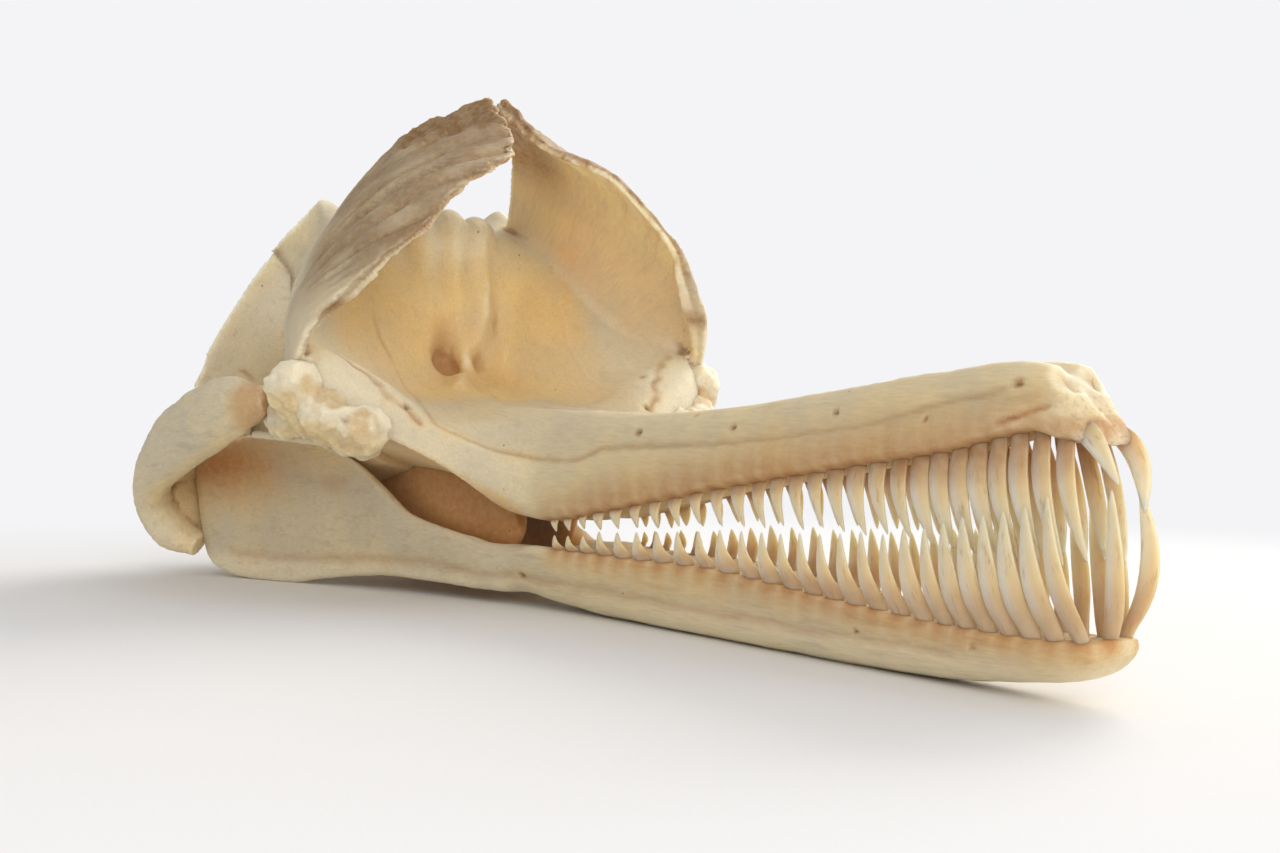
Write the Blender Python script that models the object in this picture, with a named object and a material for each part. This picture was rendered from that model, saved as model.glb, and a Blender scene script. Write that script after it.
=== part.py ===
"""River dolphin skull with its jaw, mouth a little open, resting on the lower edge of the jaw.

Sizes are in millimetres in the skull's own frame: x from the occipital condyles (0) to the snout,
y to the animal's left, z up from the surface that the jaw rests on. The finished pieces are scaled
to metres and moved so that the origin is under the middle of the whole skull.
"""

import math
import random

import bmesh
import bpy
import numpy as np
from mathutils import Matrix, Vector

MILLIMETRE = 0.001
GAP = 0.3
BALL_FINENESS = 2
CURVE_STEP = 0.01
SHARP_ANGLE = 50
RIGHT = -1
LEFT = 1

# Bone and tooth colours
BONE = (0.80, 0.70, 0.50)
SHADED_BONE = (0.72, 0.62, 0.44)
TOOTH = (0.88, 0.80, 0.62)

# Upper jaw: lines that run along it, as (x, half width, height)
CREASE = ((112, 0, 66), (122, 0, 60), (138, 0, 56), (152, 0, 54.4), (182, 0, 53.6), (214, 0, 53.6),
          (250, 0, 55), (298, 0, 60), (336, 0, 64), (355, 0, 65.4), (366, 0, 62.6), (375, 0, 55.6))
CROWN = ((112, 6, 66.1), (122, 7, 61.5), (138, 9, 58), (152, 9.5, 56.3), (182, 6, 55.2), (214, 4.6, 55),
         (250, 4, 56.4), (298, 4, 61.5), (336, 4.2, 65.6), (355, 4.6, 67), (366, 4.2, 65), (375, 2, 57))
SHOULDER = ((112, 24, 66.5), (122, 22, 59), (138, 22, 55.5), (152, 20, 53), (170, 14.5, 51.5),
            (182, 11.5, 51.5), (214, 9.5, 51.8), (250, 8.4, 53.4), (298, 7.8, 58), (336, 7.6, 62),
            (355, 7.6, 64), (366, 6.4, 62.4), (375, 3, 56.6))
SUTURE = ((112, 34, 70), (122, 33, 62.5), (130, 32, 59), (138, 31, 57), (152, 29, 51.5), (170, 18, 44),
          (182, 13.6, 42.8), (214, 11, 46), (250, 9.4, 48), (298, 8.6, 52.4), (336, 8, 57),
          (355, 7.9, 59.6), (366, 6.8, 59.6), (375, 3.4, 56))
CHEEK = ((112, 48, 76), (122, 48, 69), (130, 47, 67), (138, 46, 66), (146, 42, 60), (152, 37, 54),
         (160, 30, 48.5), (170, 21.5, 42), (182, 15.6, 38), (214, 13.4, 39), (250, 11.4, 43),
         (298, 10.4, 48.6), (336, 9.5, 53.6), (355, 9.1, 57), (366, 8, 57.6), (375, 4, 55.4))
WING_TOP = ((112, 59, 84), (122, 61, 78), (130, 62, 74), (138, 62, 71), (146, 57, 62), (152, 44, 53),
            (160, 33, 44.5), (170, 23.4, 37), (182, 16.6, 32.5), (214, 13.7, 34), (250, 11.7, 39.6),
            (298, 10.7, 46.4), (336, 9.8, 51.4), (355, 9.3, 55), (366, 8.2, 56), (375, 4.2, 54.8))
WING_TIP = ((112, 60, 76), (122, 65, 67), (130, 67, 64), (138, 66, 60), (146, 60, 53), (152, 47, 47.5),
            (160, 34, 39.5), (170, 22.5, 30.5), (182, 16.2, 26.6), (214, 13.4, 31), (250, 11.4, 37.2),
            (298, 10.4, 44.5), (336, 9.4, 49.8), (355, 8.9, 53.2), (366, 7.8, 54.6), (375, 4, 53.6))
WING_UNDER = ((112, 50, 58), (122, 54, 52), (138, 56, 49), (146, 50, 45), (152, 40, 41), (160, 28, 34.5),
              (170, 18, 27), (182, 12.6, 25), (214, 10.4, 29.4), (250, 8.8, 35.6), (298, 8, 42.8),
              (336, 7.2, 48.2), (355, 6.7, 52), (366, 5.6, 53.4), (375, 2.6, 53))
PALATE_SIDE = ((112, 32, 40), (138, 26, 31), (160, 15, 27), (182, 6.5, 25.4), (214, 5, 30), (250, 4.4, 36),
               (298, 4, 43), (336, 3.6, 48.4), (355, 3.3, 52.2), (366, 2.8, 53.4), (375, 1.2, 53))
PALATE = ((112, 0, 30), (138, 0, 27), (160, 0, 25.4), (182, 0, 24.8), (214, 0, 29.2), (250, 0, 35.2),
          (298, 0, 42.2), (336, 0, 47.8), (355, 0, 51.6), (366, 0, 53), (375, 0, 52.8))
UPPER_LINES = (CREASE, CROWN, SHOULDER, SUTURE, CHEEK, WING_TOP, WING_TIP, WING_UNDER, PALATE_SIDE, PALATE)
UPPER_PLACES = (112, 122, 130, 138, 146, 152, 160, 170, 182, 198, 220, 244, 270, 298, 322, 342, 355,
                364, 370, 375)

# Braincase: lines along it, as (x, half width, height)
ROOF = ((3, 0, 58), (12, 0, 72), (24, 0, 84), (38, 0, 95), (54, 0, 107), (66, 0, 113), (82, 0, 116),
        (94, 0, 113), (100, 0, 94), (106, 0, 74), (111.7, 0, 66))
ROOF_SIDE = ((3, 12, 57), (12, 24, 70), (24, 30, 80), (38, 30, 91), (54, 26, 104), (66, 20, 113),
             (82, 18, 114), (94, 20, 108), (100, 28, 92), (106, 32, 78), (111.7, 34, 70))
RIDGE = ((3, 20, 53), (12, 42, 60), (24, 55, 60), (32, 60, 62), (38, 57.5, 73), (46, 52.5, 86),
         (54, 46, 100), (62, 39, 112), (70, 32, 121), (78, 32, 117), (86, 38, 108), (98, 50, 98),
         (108, 57, 88), (111.7, 59, 84))
BELOW_RIDGE = ((3, 23, 48), (12, 43, 52), (24, 53, 54), (32, 54, 56), (38, 51, 68), (46, 46, 81),
               (54, 40, 94), (62, 35, 104), (70, 33, 110), (78, 35, 106), (86, 40, 98), (98, 50, 88),
               (108, 58, 79), (111.7, 60, 76))
TEMPLE = ((3, 23, 44), (12, 40, 44), (24, 46, 46), (38, 43, 56), (54, 38, 72), (70, 37, 78),
          (86, 39, 74), (98, 42, 68), (111.7, 50, 58))
LOWER_SIDE = ((3, 18, 38), (12, 32, 34), (24, 38, 32), (54, 36, 36), (86, 35, 40), (111.7, 32, 40))
BASE_SIDE = ((3, 10, 36), (12, 20, 29), (24, 24, 26), (54, 24, 27), (86, 22, 30), (111.7, 20, 36.2))
BASE = ((3, 0, 36), (12, 0, 29), (24, 0, 27), (54, 0, 28), (86, 0, 31), (111.7, 0, 30))
BRAINCASE_LINES = (ROOF, ROOF_SIDE, RIDGE, BELOW_RIDGE, TEMPLE, LOWER_SIDE, BASE_SIDE, BASE)
BRAINCASE_PLACES = (3, 7, 12, 18, 24, 32, 38, 46, 54, 62, 70, 78, 86, 92, 98, 104, 108, 111.7)

# Rounded lumps on top of the braincase, and the hollows of the nostrils and of the spinal opening,
# as (x, y, z, radius along x, y, z)
CROWN_LUMPS = ((96, 0, 110, 7, 6, 6), (94, 11, 109, 7, 6, 6), (94, -11, 109, 7, 6, 6))
NOSTRILS = ((111, 6, 74, 6, 4, 10), (111, -6, 74, 6, 4, 10))
SPINAL_OPENING = (0, 0, 55, 9, 9, 8)

# Maxillary crests: the root on the skull and the free front edge, from the brow to the crown, as (x, y, z)
CREST_ROOT = ((129, 66, 66), (118, 63, 79), (108, 56.5, 88), (98, 49.5, 97.5), (88, 39, 107), (82, 31, 117))
CREST_EDGE = ((139, 68, 69), (151, 61, 83), (160, 49, 96), (167, 37, 107), (165, 21, 122), (148, 9.5, 133),
              (126, 6.6, 148.5))
CREST_BULGE = ((0, 2), (0.2, 6), (0.5, 9), (0.75, 11), (1, 5))
CREST_THICK_ROOT = ((0, 3), (0.3, 7), (1, 4.5))
CREST_THICK_EDGE = ((0, 3), (0.2, 7), (0.4, 3.4), (0.7, 2.6), (1, 5))
CREST_TURN = 1.1
CREST_ROWS = 16
CREST_COLUMNS = 10

# Zygomatic arches: centre line from the front tip to the hook behind the jaw joint,
# as (x, y, z, half height, half width)
ARCH = ((114, 72.5, 56, 6.5, 4), (106, 73.5, 55.5, 9, 5.5), (92, 75, 52.5, 10.5, 6.5),
        (76, 75.5, 48.5, 11, 6.5), (60, 75.5, 44, 11, 6.5), (46, 75.5, 38, 9.5, 6.2),
        (36, 75, 31, 8, 6), (31, 72.5, 22.5, 6.5, 6), (32, 66.5, 14, 5.5, 6.5), (38, 60, 10, 3.6, 5))
ARCH_ROOT = ((33, 44, 46, 12, 10), (33, 58, 45, 13, 9), (36, 72, 40, 11, 8))

# Plate behind the jaw joint that fills the bend of the arch, as (x, y, z, radius along x, y, z)
JOINT_PLATE = (29, 62, 27, 5.5, 13, 16)
ARCH_SIDES = 12
ARCH_STEPS = 14

# Cheek bars, thin rods under the eye sockets
BAR_FRONT = (149, 57, 45.5)
BAR_REAR = (109, 69, 47.5)
BAR_RADIUS = 1.3
BAR_STEPS = 4
BAR_SIDES = 6

# Knobbly brow processes in front of the eye: (x, y, z, radius along x, y, z)
BROW_KNOBS = ((137, 68, 61, 8, 6.5, 7.5), (130, 66, 58, 9, 6, 5), (144, 62, 54, 7.5, 6.5, 6.5),
              (150, 54, 49, 8, 7, 6.5), (140, 60, 52, 9, 8, 6))
LEFT_BROW_SETBACK = 3

# Occipital condyles and the bridge between them, as (x, y, z, radius along x, y, z)
CONDYLES = ((3, 11, 46, 6, 6.5, 11), (3, -11, 46, 6, 6.5, 11))
CONDYLE_BRIDGE = (4, 0, 39, 5, 10, 4)

# Palate wings behind the upper jaw
WING_STEPS = 9
WING_SIDES = 10
PALATE_WING = ((66, 17, 24, 4, 7), (82, 15, 25, 6, 10), (100, 13, 25.5, 7, 11), (114, 12, 24.5, 7, 9.5),
               (128, 10, 23.5, 5.5, 7), (142, 7, 23, 3.5, 5))

# Lower jaw: the front, where both halves are one, as (x, half width, height)
GUM = ((160, 18, 18), (182, 15.8, 17.8), (214, 13.2, 17.8), (250, 11.4, 18.2), (284, 10.6, 16.4),
       (312, 10, 14.4), (340, 9.4, 13.2), (362, 8.6, 13), (374, 7, 14), (379, 3, 15.4))
GUM_INNER = ((160, 9, 17), (182, 8, 17), (250, 6, 17.6), (312, 5.2, 13.8), (362, 4.4, 12.6), (379, 1.4, 15))
GUM_MIDDLE = ((160, 0, 15.5), (182, 0, 16), (250, 0, 16.8), (312, 0, 13), (362, 0, 12), (379, 0, 14.8))
JAW_SIDE = ((160, 18.6, 13), (182, 16.4, 13), (214, 14, 13), (250, 12.2, 12.6), (312, 10.8, 10),
            (362, 9.4, 9.6), (374, 7.6, 11.4), (379, 3.4, 13.6))
JAW_GROOVE = ((160, 17, 8.5), (182, 14.6, 8), (214, 12, 7.6), (250, 10.6, 7), (312, 9.6, 6), (362, 8, 7),
              (374, 6.4, 9.6), (379, 2.8, 12.6))
JAW_LOW = ((160, 13, 5), (182, 10.6, 3.4), (214, 8.4, 2), (250, 7.4, 1.6), (312, 6.6, 1.8), (342, 6, 2.8),
           (362, 5.2, 4.8), (374, 4, 7.6), (379, 1.6, 11.8))
KEEL = ((160, 4, 3.6), (182, 3.6, 1.4), (198, 3.4, 0), (300, 3, 0), (330, 2.8, 0.8), (350, 2.4, 2.4),
        (366, 2, 4.6), (374, 1.6, 7.2), (379, 0.8, 11))
JAW_LINES = (GUM_MIDDLE, GUM_INNER, GUM, JAW_SIDE, JAW_GROOVE, JAW_LOW, KEEL)
JAW_PLACES = (160, 170, 182, 198, 220, 250, 280, 300, 320, 340, 352, 362, 369, 374, 379)

# Lower jaw branches: (x, half width at the outer face, top height, bottom height, thickness)
BRANCH = ((36, 57, 26, 15, 5), (40, 59, 29.5, 11, 9), (45, 57, 33.5, 6, 8.5), (50, 54, 39, 2.4, 6),
          (56, 50.5, 44, 0.4, 4.6), (62, 48, 46.2, 0, 4), (70, 44.8, 46.8, 0, 3.8), (84, 39.2, 45.4, 2.2, 3.8),
          (101, 32.6, 41.2, 4.4, 4), (111, 29.4, 36.8, 5, 4.4), (116, 28, 33.2, 5, 4.6), (121, 26.5, 29.2, 4.9, 5),
          (134, 23.3, 24.2, 4.7, 6), (146, 20.7, 20.8, 4.4, 7.4), (159.7, 18.4, 17.8, 3.6, 9.6))
BRANCH_LEAN = 0.12
BRANCH_BOW = 0.5
BRANCH_STEPS = 22

# Teeth
FIRST_TOOTH = 186.6
TOOTH_PITCH = ((0, 6), (2, 7.4), (5, 8.6), (9, 8.8), (11, 7.1), (17, 7.1), (19, 5.9), (25, 5.6), (29, 4.6))
TOOTH_LEAN = 0.24
UPPER_TOOTH = (2.8, 0.0, 0.0, 28)
LOWER_TOOTH = (1.2, 0.07, 0.5, 27)
TOOTH_REACH = ((187, 0.46), (250, 0.48), (300, 0.58), (330, 0.68), (380, 0.72))
TOOTH_WIDTH = ((187, 4.2), (215, 5.8), (260, 6), (300, 5.8), (330, 5.4), (366, 5), (380, 4.2))
TOOTH_THICKNESS = 0.56
TOOTH_SUNK = 3.5
TOOTH_SIDES = 6
TOOTH_RINGS = ((-0.1, 0.9), (0.22, 1.0), (0.6, 0.74), (0.86, 0.36))
TOOTH_SCATTER = 0.5
TOOTH_VARIATION = 0.05
TOOTH_CROWDING = 0.93
TOOTH_BOW = 0.05
TIP_MARGIN = 2
TOOTH_SEED = 7


def along(line, place):
    """Values of a line at a place, smooth between its given stations without overshoot."""
    table = np.array(line, dtype=float)
    xs = table[:, 0]
    values = table[:, 1:]
    place = min(max(place, xs[0]), xs[-1])
    steps = np.diff(xs)[:, None]
    slopes = np.diff(values, axis=0) / steps
    tangents = np.zeros_like(values)
    tangents[0] = slopes[0]
    tangents[-1] = slopes[-1]
    for i in range(1, len(xs) - 1):
        before = slopes[i - 1]
        after = slopes[i]
        same = before * after > 0
        total = np.where(same, before + after, 1.0)
        tangents[i] = np.where(same, 2 * before * after / total, 0.0)
    i = min(int(np.searchsorted(xs, place, side="right")) - 1, len(xs) - 2)
    width = xs[i + 1] - xs[i]
    t = (place - xs[i]) / width
    start = (1 + 2 * t) * (1 - t) ** 2 * values[i] + t * (1 - t) ** 2 * width * tangents[i]
    end = t * t * (3 - 2 * t) * values[i + 1] + t * t * (t - 1) * width * tangents[i + 1]
    return start + end


def curve_point(points, t):
    """A point on the smooth curve through the given points, t from 0 to 1, spaced by length."""
    table = np.array(points, dtype=float)
    lengths = np.linalg.norm(np.diff(table[:, :3], axis=0), axis=1)
    places = np.concatenate(([0.0], np.cumsum(lengths)))
    line = np.column_stack((places / places[-1], table))
    return along(line, t)


def make_material(name, colour, roughness):
    material = bpy.data.materials.new(name)
    material.use_nodes = True
    shader = material.node_tree.nodes["Principled BSDF"]
    shader.inputs["Base Color"].default_value = (*colour, 1)
    shader.inputs["Roughness"].default_value = roughness
    shader.inputs["Metallic"].default_value = 0
    return material


def new_object(name, mesh_maker, material):
    """An object of triangles from bmesh work done in millimetres, its faces turned outwards."""
    work = bmesh.new()
    mesh_maker(work)
    bmesh.ops.triangulate(work, faces=work.faces, quad_method="FIXED")
    bmesh.ops.recalc_face_normals(work, faces=work.faces)
    if work.calc_volume(signed=True) < 0:
        bmesh.ops.reverse_faces(work, faces=work.faces)
    mesh = bpy.data.meshes.new(name)
    work.to_mesh(mesh)
    work.free()
    mesh.materials.append(material)
    piece = bpy.data.objects.new(name, mesh)
    bpy.context.scene.collection.objects.link(piece)
    return piece


def loft(work, rings):
    """Skin a row of closed rings of equal length and close both ends flat."""
    rows = [[work.verts.new(point) for point in ring] for ring in rings]
    count = len(rows[0])
    for near, far in zip(rows, rows[1:]):
        for i in range(count):
            j = (i + 1) % count
            work.faces.new((near[i], near[j], far[j], far[i]))
    work.faces.new(rows[0])
    work.faces.new(rows[-1])


def mirrored_ring(half, x):
    """A full ring from the half outline of (half width, height) pairs."""
    right = [(x, -width, height) for width, height in half]
    left = [(x, width, height) for width, height in reversed(half) if width > 0]
    return right + left


def line_rings(lines, places):
    return [mirrored_ring([tuple(along(line, x)) for line in lines], x) for x in places]


def tube_rings(points, steps, sides):
    """Elliptical rings along a smooth centre line of (x, y, z, half height, half width)."""
    rings = []
    for step in range(steps + 1):
        t = step / steps
        here = curve_point(points, t)
        ahead = curve_point(points, min(t + CURVE_STEP, 1.0))
        behind = curve_point(points, max(t - CURVE_STEP, 0.0))
        forward = Vector(ahead[:3] - behind[:3]).normalized()
        side = Vector((0, 1, 0)) - forward * forward.y
        side.normalize()
        up = forward.cross(side)
        ring = []
        for i in range(sides):
            angle = 2 * math.pi * i / sides
            offset = up * (math.cos(angle) * here[3]) + side * (math.sin(angle) * here[4])
            ring.append(Vector(here[:3]) + offset)
        rings.append(ring)
    return rings


def sided(points, side):
    """Points given for the left, turned to the wanted side."""
    return [(point[0], point[1] * side, *point[2:]) for point in points]


def apply_modifiers(piece):
    bpy.context.view_layer.update()
    graph = bpy.context.evaluated_depsgraph_get()
    mesh = bpy.data.meshes.new_from_object(piece.evaluated_get(graph))
    piece.modifiers.clear()
    piece.data = mesh


def keep_largest(piece):
    """Keep only the largest closed surface of a piece."""
    work = bmesh.new()
    work.from_mesh(piece.data)
    unseen = set(work.verts)
    groups = []
    while unseen:
        front = [unseen.pop()]
        group = set(front)
        while front:
            vert = front.pop()
            for edge in vert.link_edges:
                other = edge.other_vert(vert)
                if other in unseen:
                    unseen.remove(other)
                    group.add(other)
                    front.append(other)
        groups.append(group)
    groups.sort(key=lambda group: reach(group), reverse=True)
    for group in groups[1:]:
        bmesh.ops.delete(work, geom=list(group), context="VERTS")
    work.to_mesh(piece.data)
    work.free()


def reach(verts):
    """Length of the box diagonal of a set of vertices."""
    places = np.array([vert.co for vert in verts])
    return float(np.linalg.norm(places.max(axis=0) - places.min(axis=0)))


def fuse(piece, others):
    """Join other closed pieces to this one in a single union."""
    group = bpy.data.collections.new(piece.name + "_forms")
    for other in others:
        group.objects.link(other)
    union = piece.modifiers.new("union", "BOOLEAN")
    union.operation = "UNION"
    union.operand_type = "COLLECTION"
    union.collection = group
    union.solver = "EXACT"
    apply_modifiers(piece)
    for other in others:
        bpy.data.objects.remove(other)
    bpy.data.collections.remove(group)
    keep_largest(piece)


def subtract(piece, cutter):
    cut = piece.modifiers.new("cut", "BOOLEAN")
    cut.operation = "DIFFERENCE"
    cut.object = cutter
    cut.solver = "EXACT"
    apply_modifiers(piece)
    keep_largest(piece)


def cut_clear(piece, neighbours):
    """Cut a piece back so that it meets its neighbours with an even gap."""
    for neighbour in neighbours:
        cutter = neighbour.copy()
        cutter.data = neighbour.data.copy()
        bpy.context.scene.collection.objects.link(cutter)
        swell = cutter.modifiers.new("swell", "DISPLACE")
        swell.strength = GAP
        swell.mid_level = 0
        apply_modifiers(cutter)
        subtract(piece, cutter)
        bpy.data.objects.remove(cutter)


def make_balls(name, balls, material):
    """One closed piece for each ball given as (x, y, z, radius along x, y, z)."""
    pieces = []
    for ball in balls:
        def build(work, ball=ball):
            place = Matrix.Translation(ball[:3]) @ Matrix.Diagonal((*ball[3:], 1))
            bmesh.ops.create_icosphere(work, subdivisions=BALL_FINENESS, radius=1, matrix=place)
        pieces.append(new_object(name, build, material))
    return pieces


def hollow_out(piece, cutters):
    """Cut the shapes of other closed pieces out of this one."""
    for cutter in cutters:
        subtract(piece, cutter)
        bpy.data.objects.remove(cutter)


def make_braincase(material):
    def build(work):
        loft(work, line_rings(BRAINCASE_LINES, BRAINCASE_PLACES))
    piece = new_object("braincase", build, material)
    fuse(piece, make_balls("lump", CROWN_LUMPS, material))
    hollow_out(piece, make_balls("hollow", (*NOSTRILS, SPINAL_OPENING), material))
    return piece


def make_condyles(material, braincase):
    """The two rounded knobs that meet the neck, joined below the spinal opening."""
    piece, *knobs = make_balls("occipital_condyles", (CONDYLE_BRIDGE, *CONDYLES), material)
    fuse(piece, knobs)
    cut_clear(piece, [braincase])
    hollow_out(piece, make_balls("hollow", [SPINAL_OPENING], material))
    return piece


def tooth_places(number):
    """Places along the jaw where the upper teeth cross the middle of the mouth."""
    places = [FIRST_TOOTH]
    for i in range(number - 1):
        places.append(places[-1] + float(along(TOOTH_PITCH, i)[0]))
    return places


def tooth_rings(root, tip, width, out_side):
    """Rings of one flattened, pointed tooth from below its socket to near its tip."""
    root = Vector(root)
    tip = Vector(tip)
    length = (tip - root).length
    axis = (tip - root) / length
    forward = Vector((1, 0, 0)) - axis * axis.x
    forward.normalize()
    across = axis.cross(forward)
    rings = []
    for share, scale in TOOTH_RINGS:
        depth = -TOOTH_SUNK if share < 0 else share * length
        bow = Vector((0, out_side, 0)) * (math.sin(math.pi * max(share, 0)) * length * TOOTH_BOW)
        middle = root + axis * depth + bow
        ring = []
        for i in range(TOOTH_SIDES):
            angle = 2 * math.pi * i / TOOTH_SIDES
            along_jaw = forward * (math.cos(angle) * width * scale / 2)
            over_jaw = across * (math.sin(angle) * width * scale * TOOTH_THICKNESS / 2)
            ring.append(middle + along_jaw + over_jaw)
        rings.append(ring)
    return rings, tip


def make_teeth(gum_line, facing, setting, material):
    """Every tooth of one jaw as separate closed pieces, facing 1 for teeth that point up.

    The setting is how far in the roots stand from the edge, how much the teeth spread outwards for
    their length, how many tooth spaces the row is shifted forwards, and how many teeth it has.
    """
    inset, spread, half_step, number = setting
    draw = random.Random(TOOTH_SEED + facing)
    teeth = []
    for side in (RIGHT, LEFT):
        for i, place in enumerate(tooth_places(number)):
            pitch = float(along(TOOTH_PITCH, i)[0])
            centre = place + half_step * pitch
            top = along(WING_TIP, centre)[1]
            low = along(GUM, centre)[1]
            length = float(along(TOOTH_REACH, centre)[0]) * (top - low)
            length += draw.uniform(-1, 1) * TOOTH_SCATTER
            root_x = centre + facing * TOOTH_LEAN * (top - low) / 2
            half_width, height = along(gum_line, min(root_x, gum_line[-1][0] - TIP_MARGIN))
            out = half_width - inset
            root = (root_x, side * out, height)
            tip = (root_x - facing * TOOTH_LEAN * length, side * (out + spread * length),
                   height + facing * length)
            width = float(along(TOOTH_WIDTH, centre)[0]) * (1 + draw.uniform(-1, 1) * TOOTH_VARIATION)
            rings, point = tooth_rings(root, tip, min(width, pitch * TOOTH_CROWDING), side)

            def build(work, rings=rings, point=point):
                loft_to_point(work, rings, point)
            teeth.append(new_object("tooth", build, material))
    return teeth


def loft_to_point(work, rings, point):
    """Skin rings whose last one closes on a point and whose first one is closed flat."""
    rows = [[work.verts.new(place) for place in ring] for ring in rings]
    count = len(rows[0])
    for near, far in zip(rows, rows[1:]):
        for i in range(count):
            j = (i + 1) % count
            work.faces.new((near[i], near[j], far[j], far[i]))
    peak = work.verts.new(point)
    for i in range(count):
        work.faces.new((rows[-1][i], rows[-1][(i + 1) % count], peak))
    work.faces.new(reversed(rows[0]))


def make_upper_jaw(bone, tooth, neighbours):
    def build(work):
        loft(work, line_rings(UPPER_LINES, UPPER_PLACES))
    piece = new_object("rostrum", build, bone)
    cut_clear(piece, neighbours)
    hollow_out(piece, make_balls("hollow", NOSTRILS, bone))
    fuse(piece, make_teeth(WING_TIP, -1, UPPER_TOOTH, tooth))
    return piece


def crest_point(side, s, t):
    """A point of the crest's outer face, s from brow to crown and t from root to free edge."""
    root = curve_point(CREST_ROOT, s)
    edge = curve_point(CREST_EDGE, s)
    middle = root * (1 - t) + edge * t
    swell = along(CREST_BULGE, s)[0] * 4 * t * (1 - t)
    outward = np.array((0.0, math.cos(s * CREST_TURN), math.sin(s * CREST_TURN)))
    place = middle + outward * swell
    return Vector((place[0], place[1] * side, place[2]))


def crest_thickness(s, t):
    return float(along(CREST_THICK_ROOT, s)[0] * (1 - t) + along(CREST_THICK_EDGE, s)[0] * t)


def make_crest(name, side, material, neighbours):
    """A curved sheet of bone, split into triangles alike on both faces."""
    def build(work):
        outer = []
        inner = []
        for row in range(CREST_ROWS + 1):
            s = row / CREST_ROWS
            outer_row = []
            inner_row = []
            for column in range(CREST_COLUMNS + 1):
                t = column / CREST_COLUMNS
                place = crest_point(side, s, t)
                forward = crest_point(side, min(s + CURVE_STEP, 1), t)
                back = crest_point(side, max(s - CURVE_STEP, 0), t)
                outward = crest_point(side, s, min(t + CURVE_STEP, 1))
                inward = crest_point(side, s, max(t - CURVE_STEP, 0))
                normal = (forward - back).cross(outward - inward).normalized()
                if normal.y * side + normal.z < 0:
                    normal = -normal
                outer_row.append(work.verts.new(place))
                inner_row.append(work.verts.new(place - normal * crest_thickness(s, t)))
            outer.append(outer_row)
            inner.append(inner_row)
        for face in (outer, inner):
            for row in range(CREST_ROWS):
                for column in range(CREST_COLUMNS):
                    a = face[row][column]
                    b = face[row + 1][column]
                    c = face[row + 1][column + 1]
                    d = face[row][column + 1]
                    work.faces.new((a, b, c))
                    work.faces.new((a, c, d))
        rim = rim_pairs(outer, inner)
        for (a, b), (c, d) in zip(rim, rim[1:] + rim[:1]):
            work.faces.new((a, c, d))
            work.faces.new((a, d, b))

    piece = new_object(name, build, material)
    cut_clear(piece, neighbours)
    return piece


def rim_pairs(outer, inner):
    """Pairs of outer and inner vertices once round the border of a grid."""
    last_row = len(outer) - 1
    last_column = len(outer[0]) - 1
    places = [(row, 0) for row in range(last_row)]
    places += [(last_row, column) for column in range(last_column)]
    places += [(row, last_column) for row in range(last_row, 0, -1)]
    places += [(0, column) for column in range(last_column, 0, -1)]
    return [(outer[row][column], inner[row][column]) for row, column in places]


def make_brow(name, side, material, neighbours):
    setback = LEFT_BROW_SETBACK if side == LEFT else 0
    knobs = [(x - setback, y, *rest) for x, y, *rest in sided(BROW_KNOBS, side)]
    piece, *others = make_balls(name, knobs, material)
    fuse(piece, others)
    piece.name = name
    cut_clear(piece, neighbours)
    return piece


def make_arch(name, side, material, neighbours):
    """The zygomatic arch and the root that carries it on the side of the braincase."""
    def build(work):
        loft(work, tube_rings(sided(ARCH, side), ARCH_STEPS, ARCH_SIDES))

    def build_root(work):
        loft(work, root_rings(side))
    piece = new_object(name, build, material)
    plate = make_balls("plate", sided([JOINT_PLATE], side), material)
    fuse(piece, [new_object("root", build_root, material), *plate])
    cut_clear(piece, neighbours)
    return piece


def root_rings(side):
    """Upright elliptical rings of the arch's root, one after the other outwards."""
    rings = []
    for x, y, z, half_height, half_length in ARCH_ROOT:
        ring = []
        for i in range(ARCH_SIDES):
            angle = 2 * math.pi * i / ARCH_SIDES
            ring.append((x + math.cos(angle) * half_length, y * side, z + math.sin(angle) * half_height))
        rings.append(ring)
    return rings


def make_bar(name, side, material, neighbours):
    points = [(*point, BAR_RADIUS, BAR_RADIUS) for point in (BAR_FRONT, BAR_REAR)]

    def build(work):
        loft(work, tube_rings(sided(points, side), BAR_STEPS, BAR_SIDES))
    piece = new_object(name, build, material)
    cut_clear(piece, neighbours)
    return piece


def make_palate_wing(name, side, material, neighbours):
    def build(work):
        loft(work, tube_rings(sided(PALATE_WING, side), WING_STEPS, WING_SIDES))
    piece = new_object(name, build, material)
    cut_clear(piece, neighbours)
    return piece


def make_jaw_front(bone, tooth):
    def build(work):
        loft(work, line_rings(JAW_LINES, JAW_PLACES))
    piece = new_object("jaw_front", build, bone)
    fuse(piece, make_teeth(GUM, 1, LOWER_TOOTH, tooth))
    return piece


def branch_ring(x, side):
    outer, top, bottom, thickness = along(BRANCH, x)
    lean = BRANCH_LEAN * (top - bottom)
    half = thickness / 2
    inner = outer - thickness
    middle = (top + bottom) / 2
    outline = ((outer + lean - half * 0.6, top), (outer + lean * 0.8, top - 2),
               (outer + lean * 0.3 + BRANCH_BOW, middle), (outer, bottom + 4), (outer - 1.2, bottom),
               (inner, bottom), (inner, bottom + 4), (inner + lean * 0.3 + BRANCH_BOW, middle),
               (inner + lean * 0.8, top - 2))
    return [(x, width * side, height) for width, height in outline]


def make_branch(name, side, material, neighbours):
    def build(work):
        places = np.linspace(BRANCH[0][0], BRANCH[-1][0], BRANCH_STEPS + 1)
        loft(work, [branch_ring(x, side) for x in places])

    piece = new_object(name, build, material)
    cut_clear(piece, neighbours)
    return piece


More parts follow.
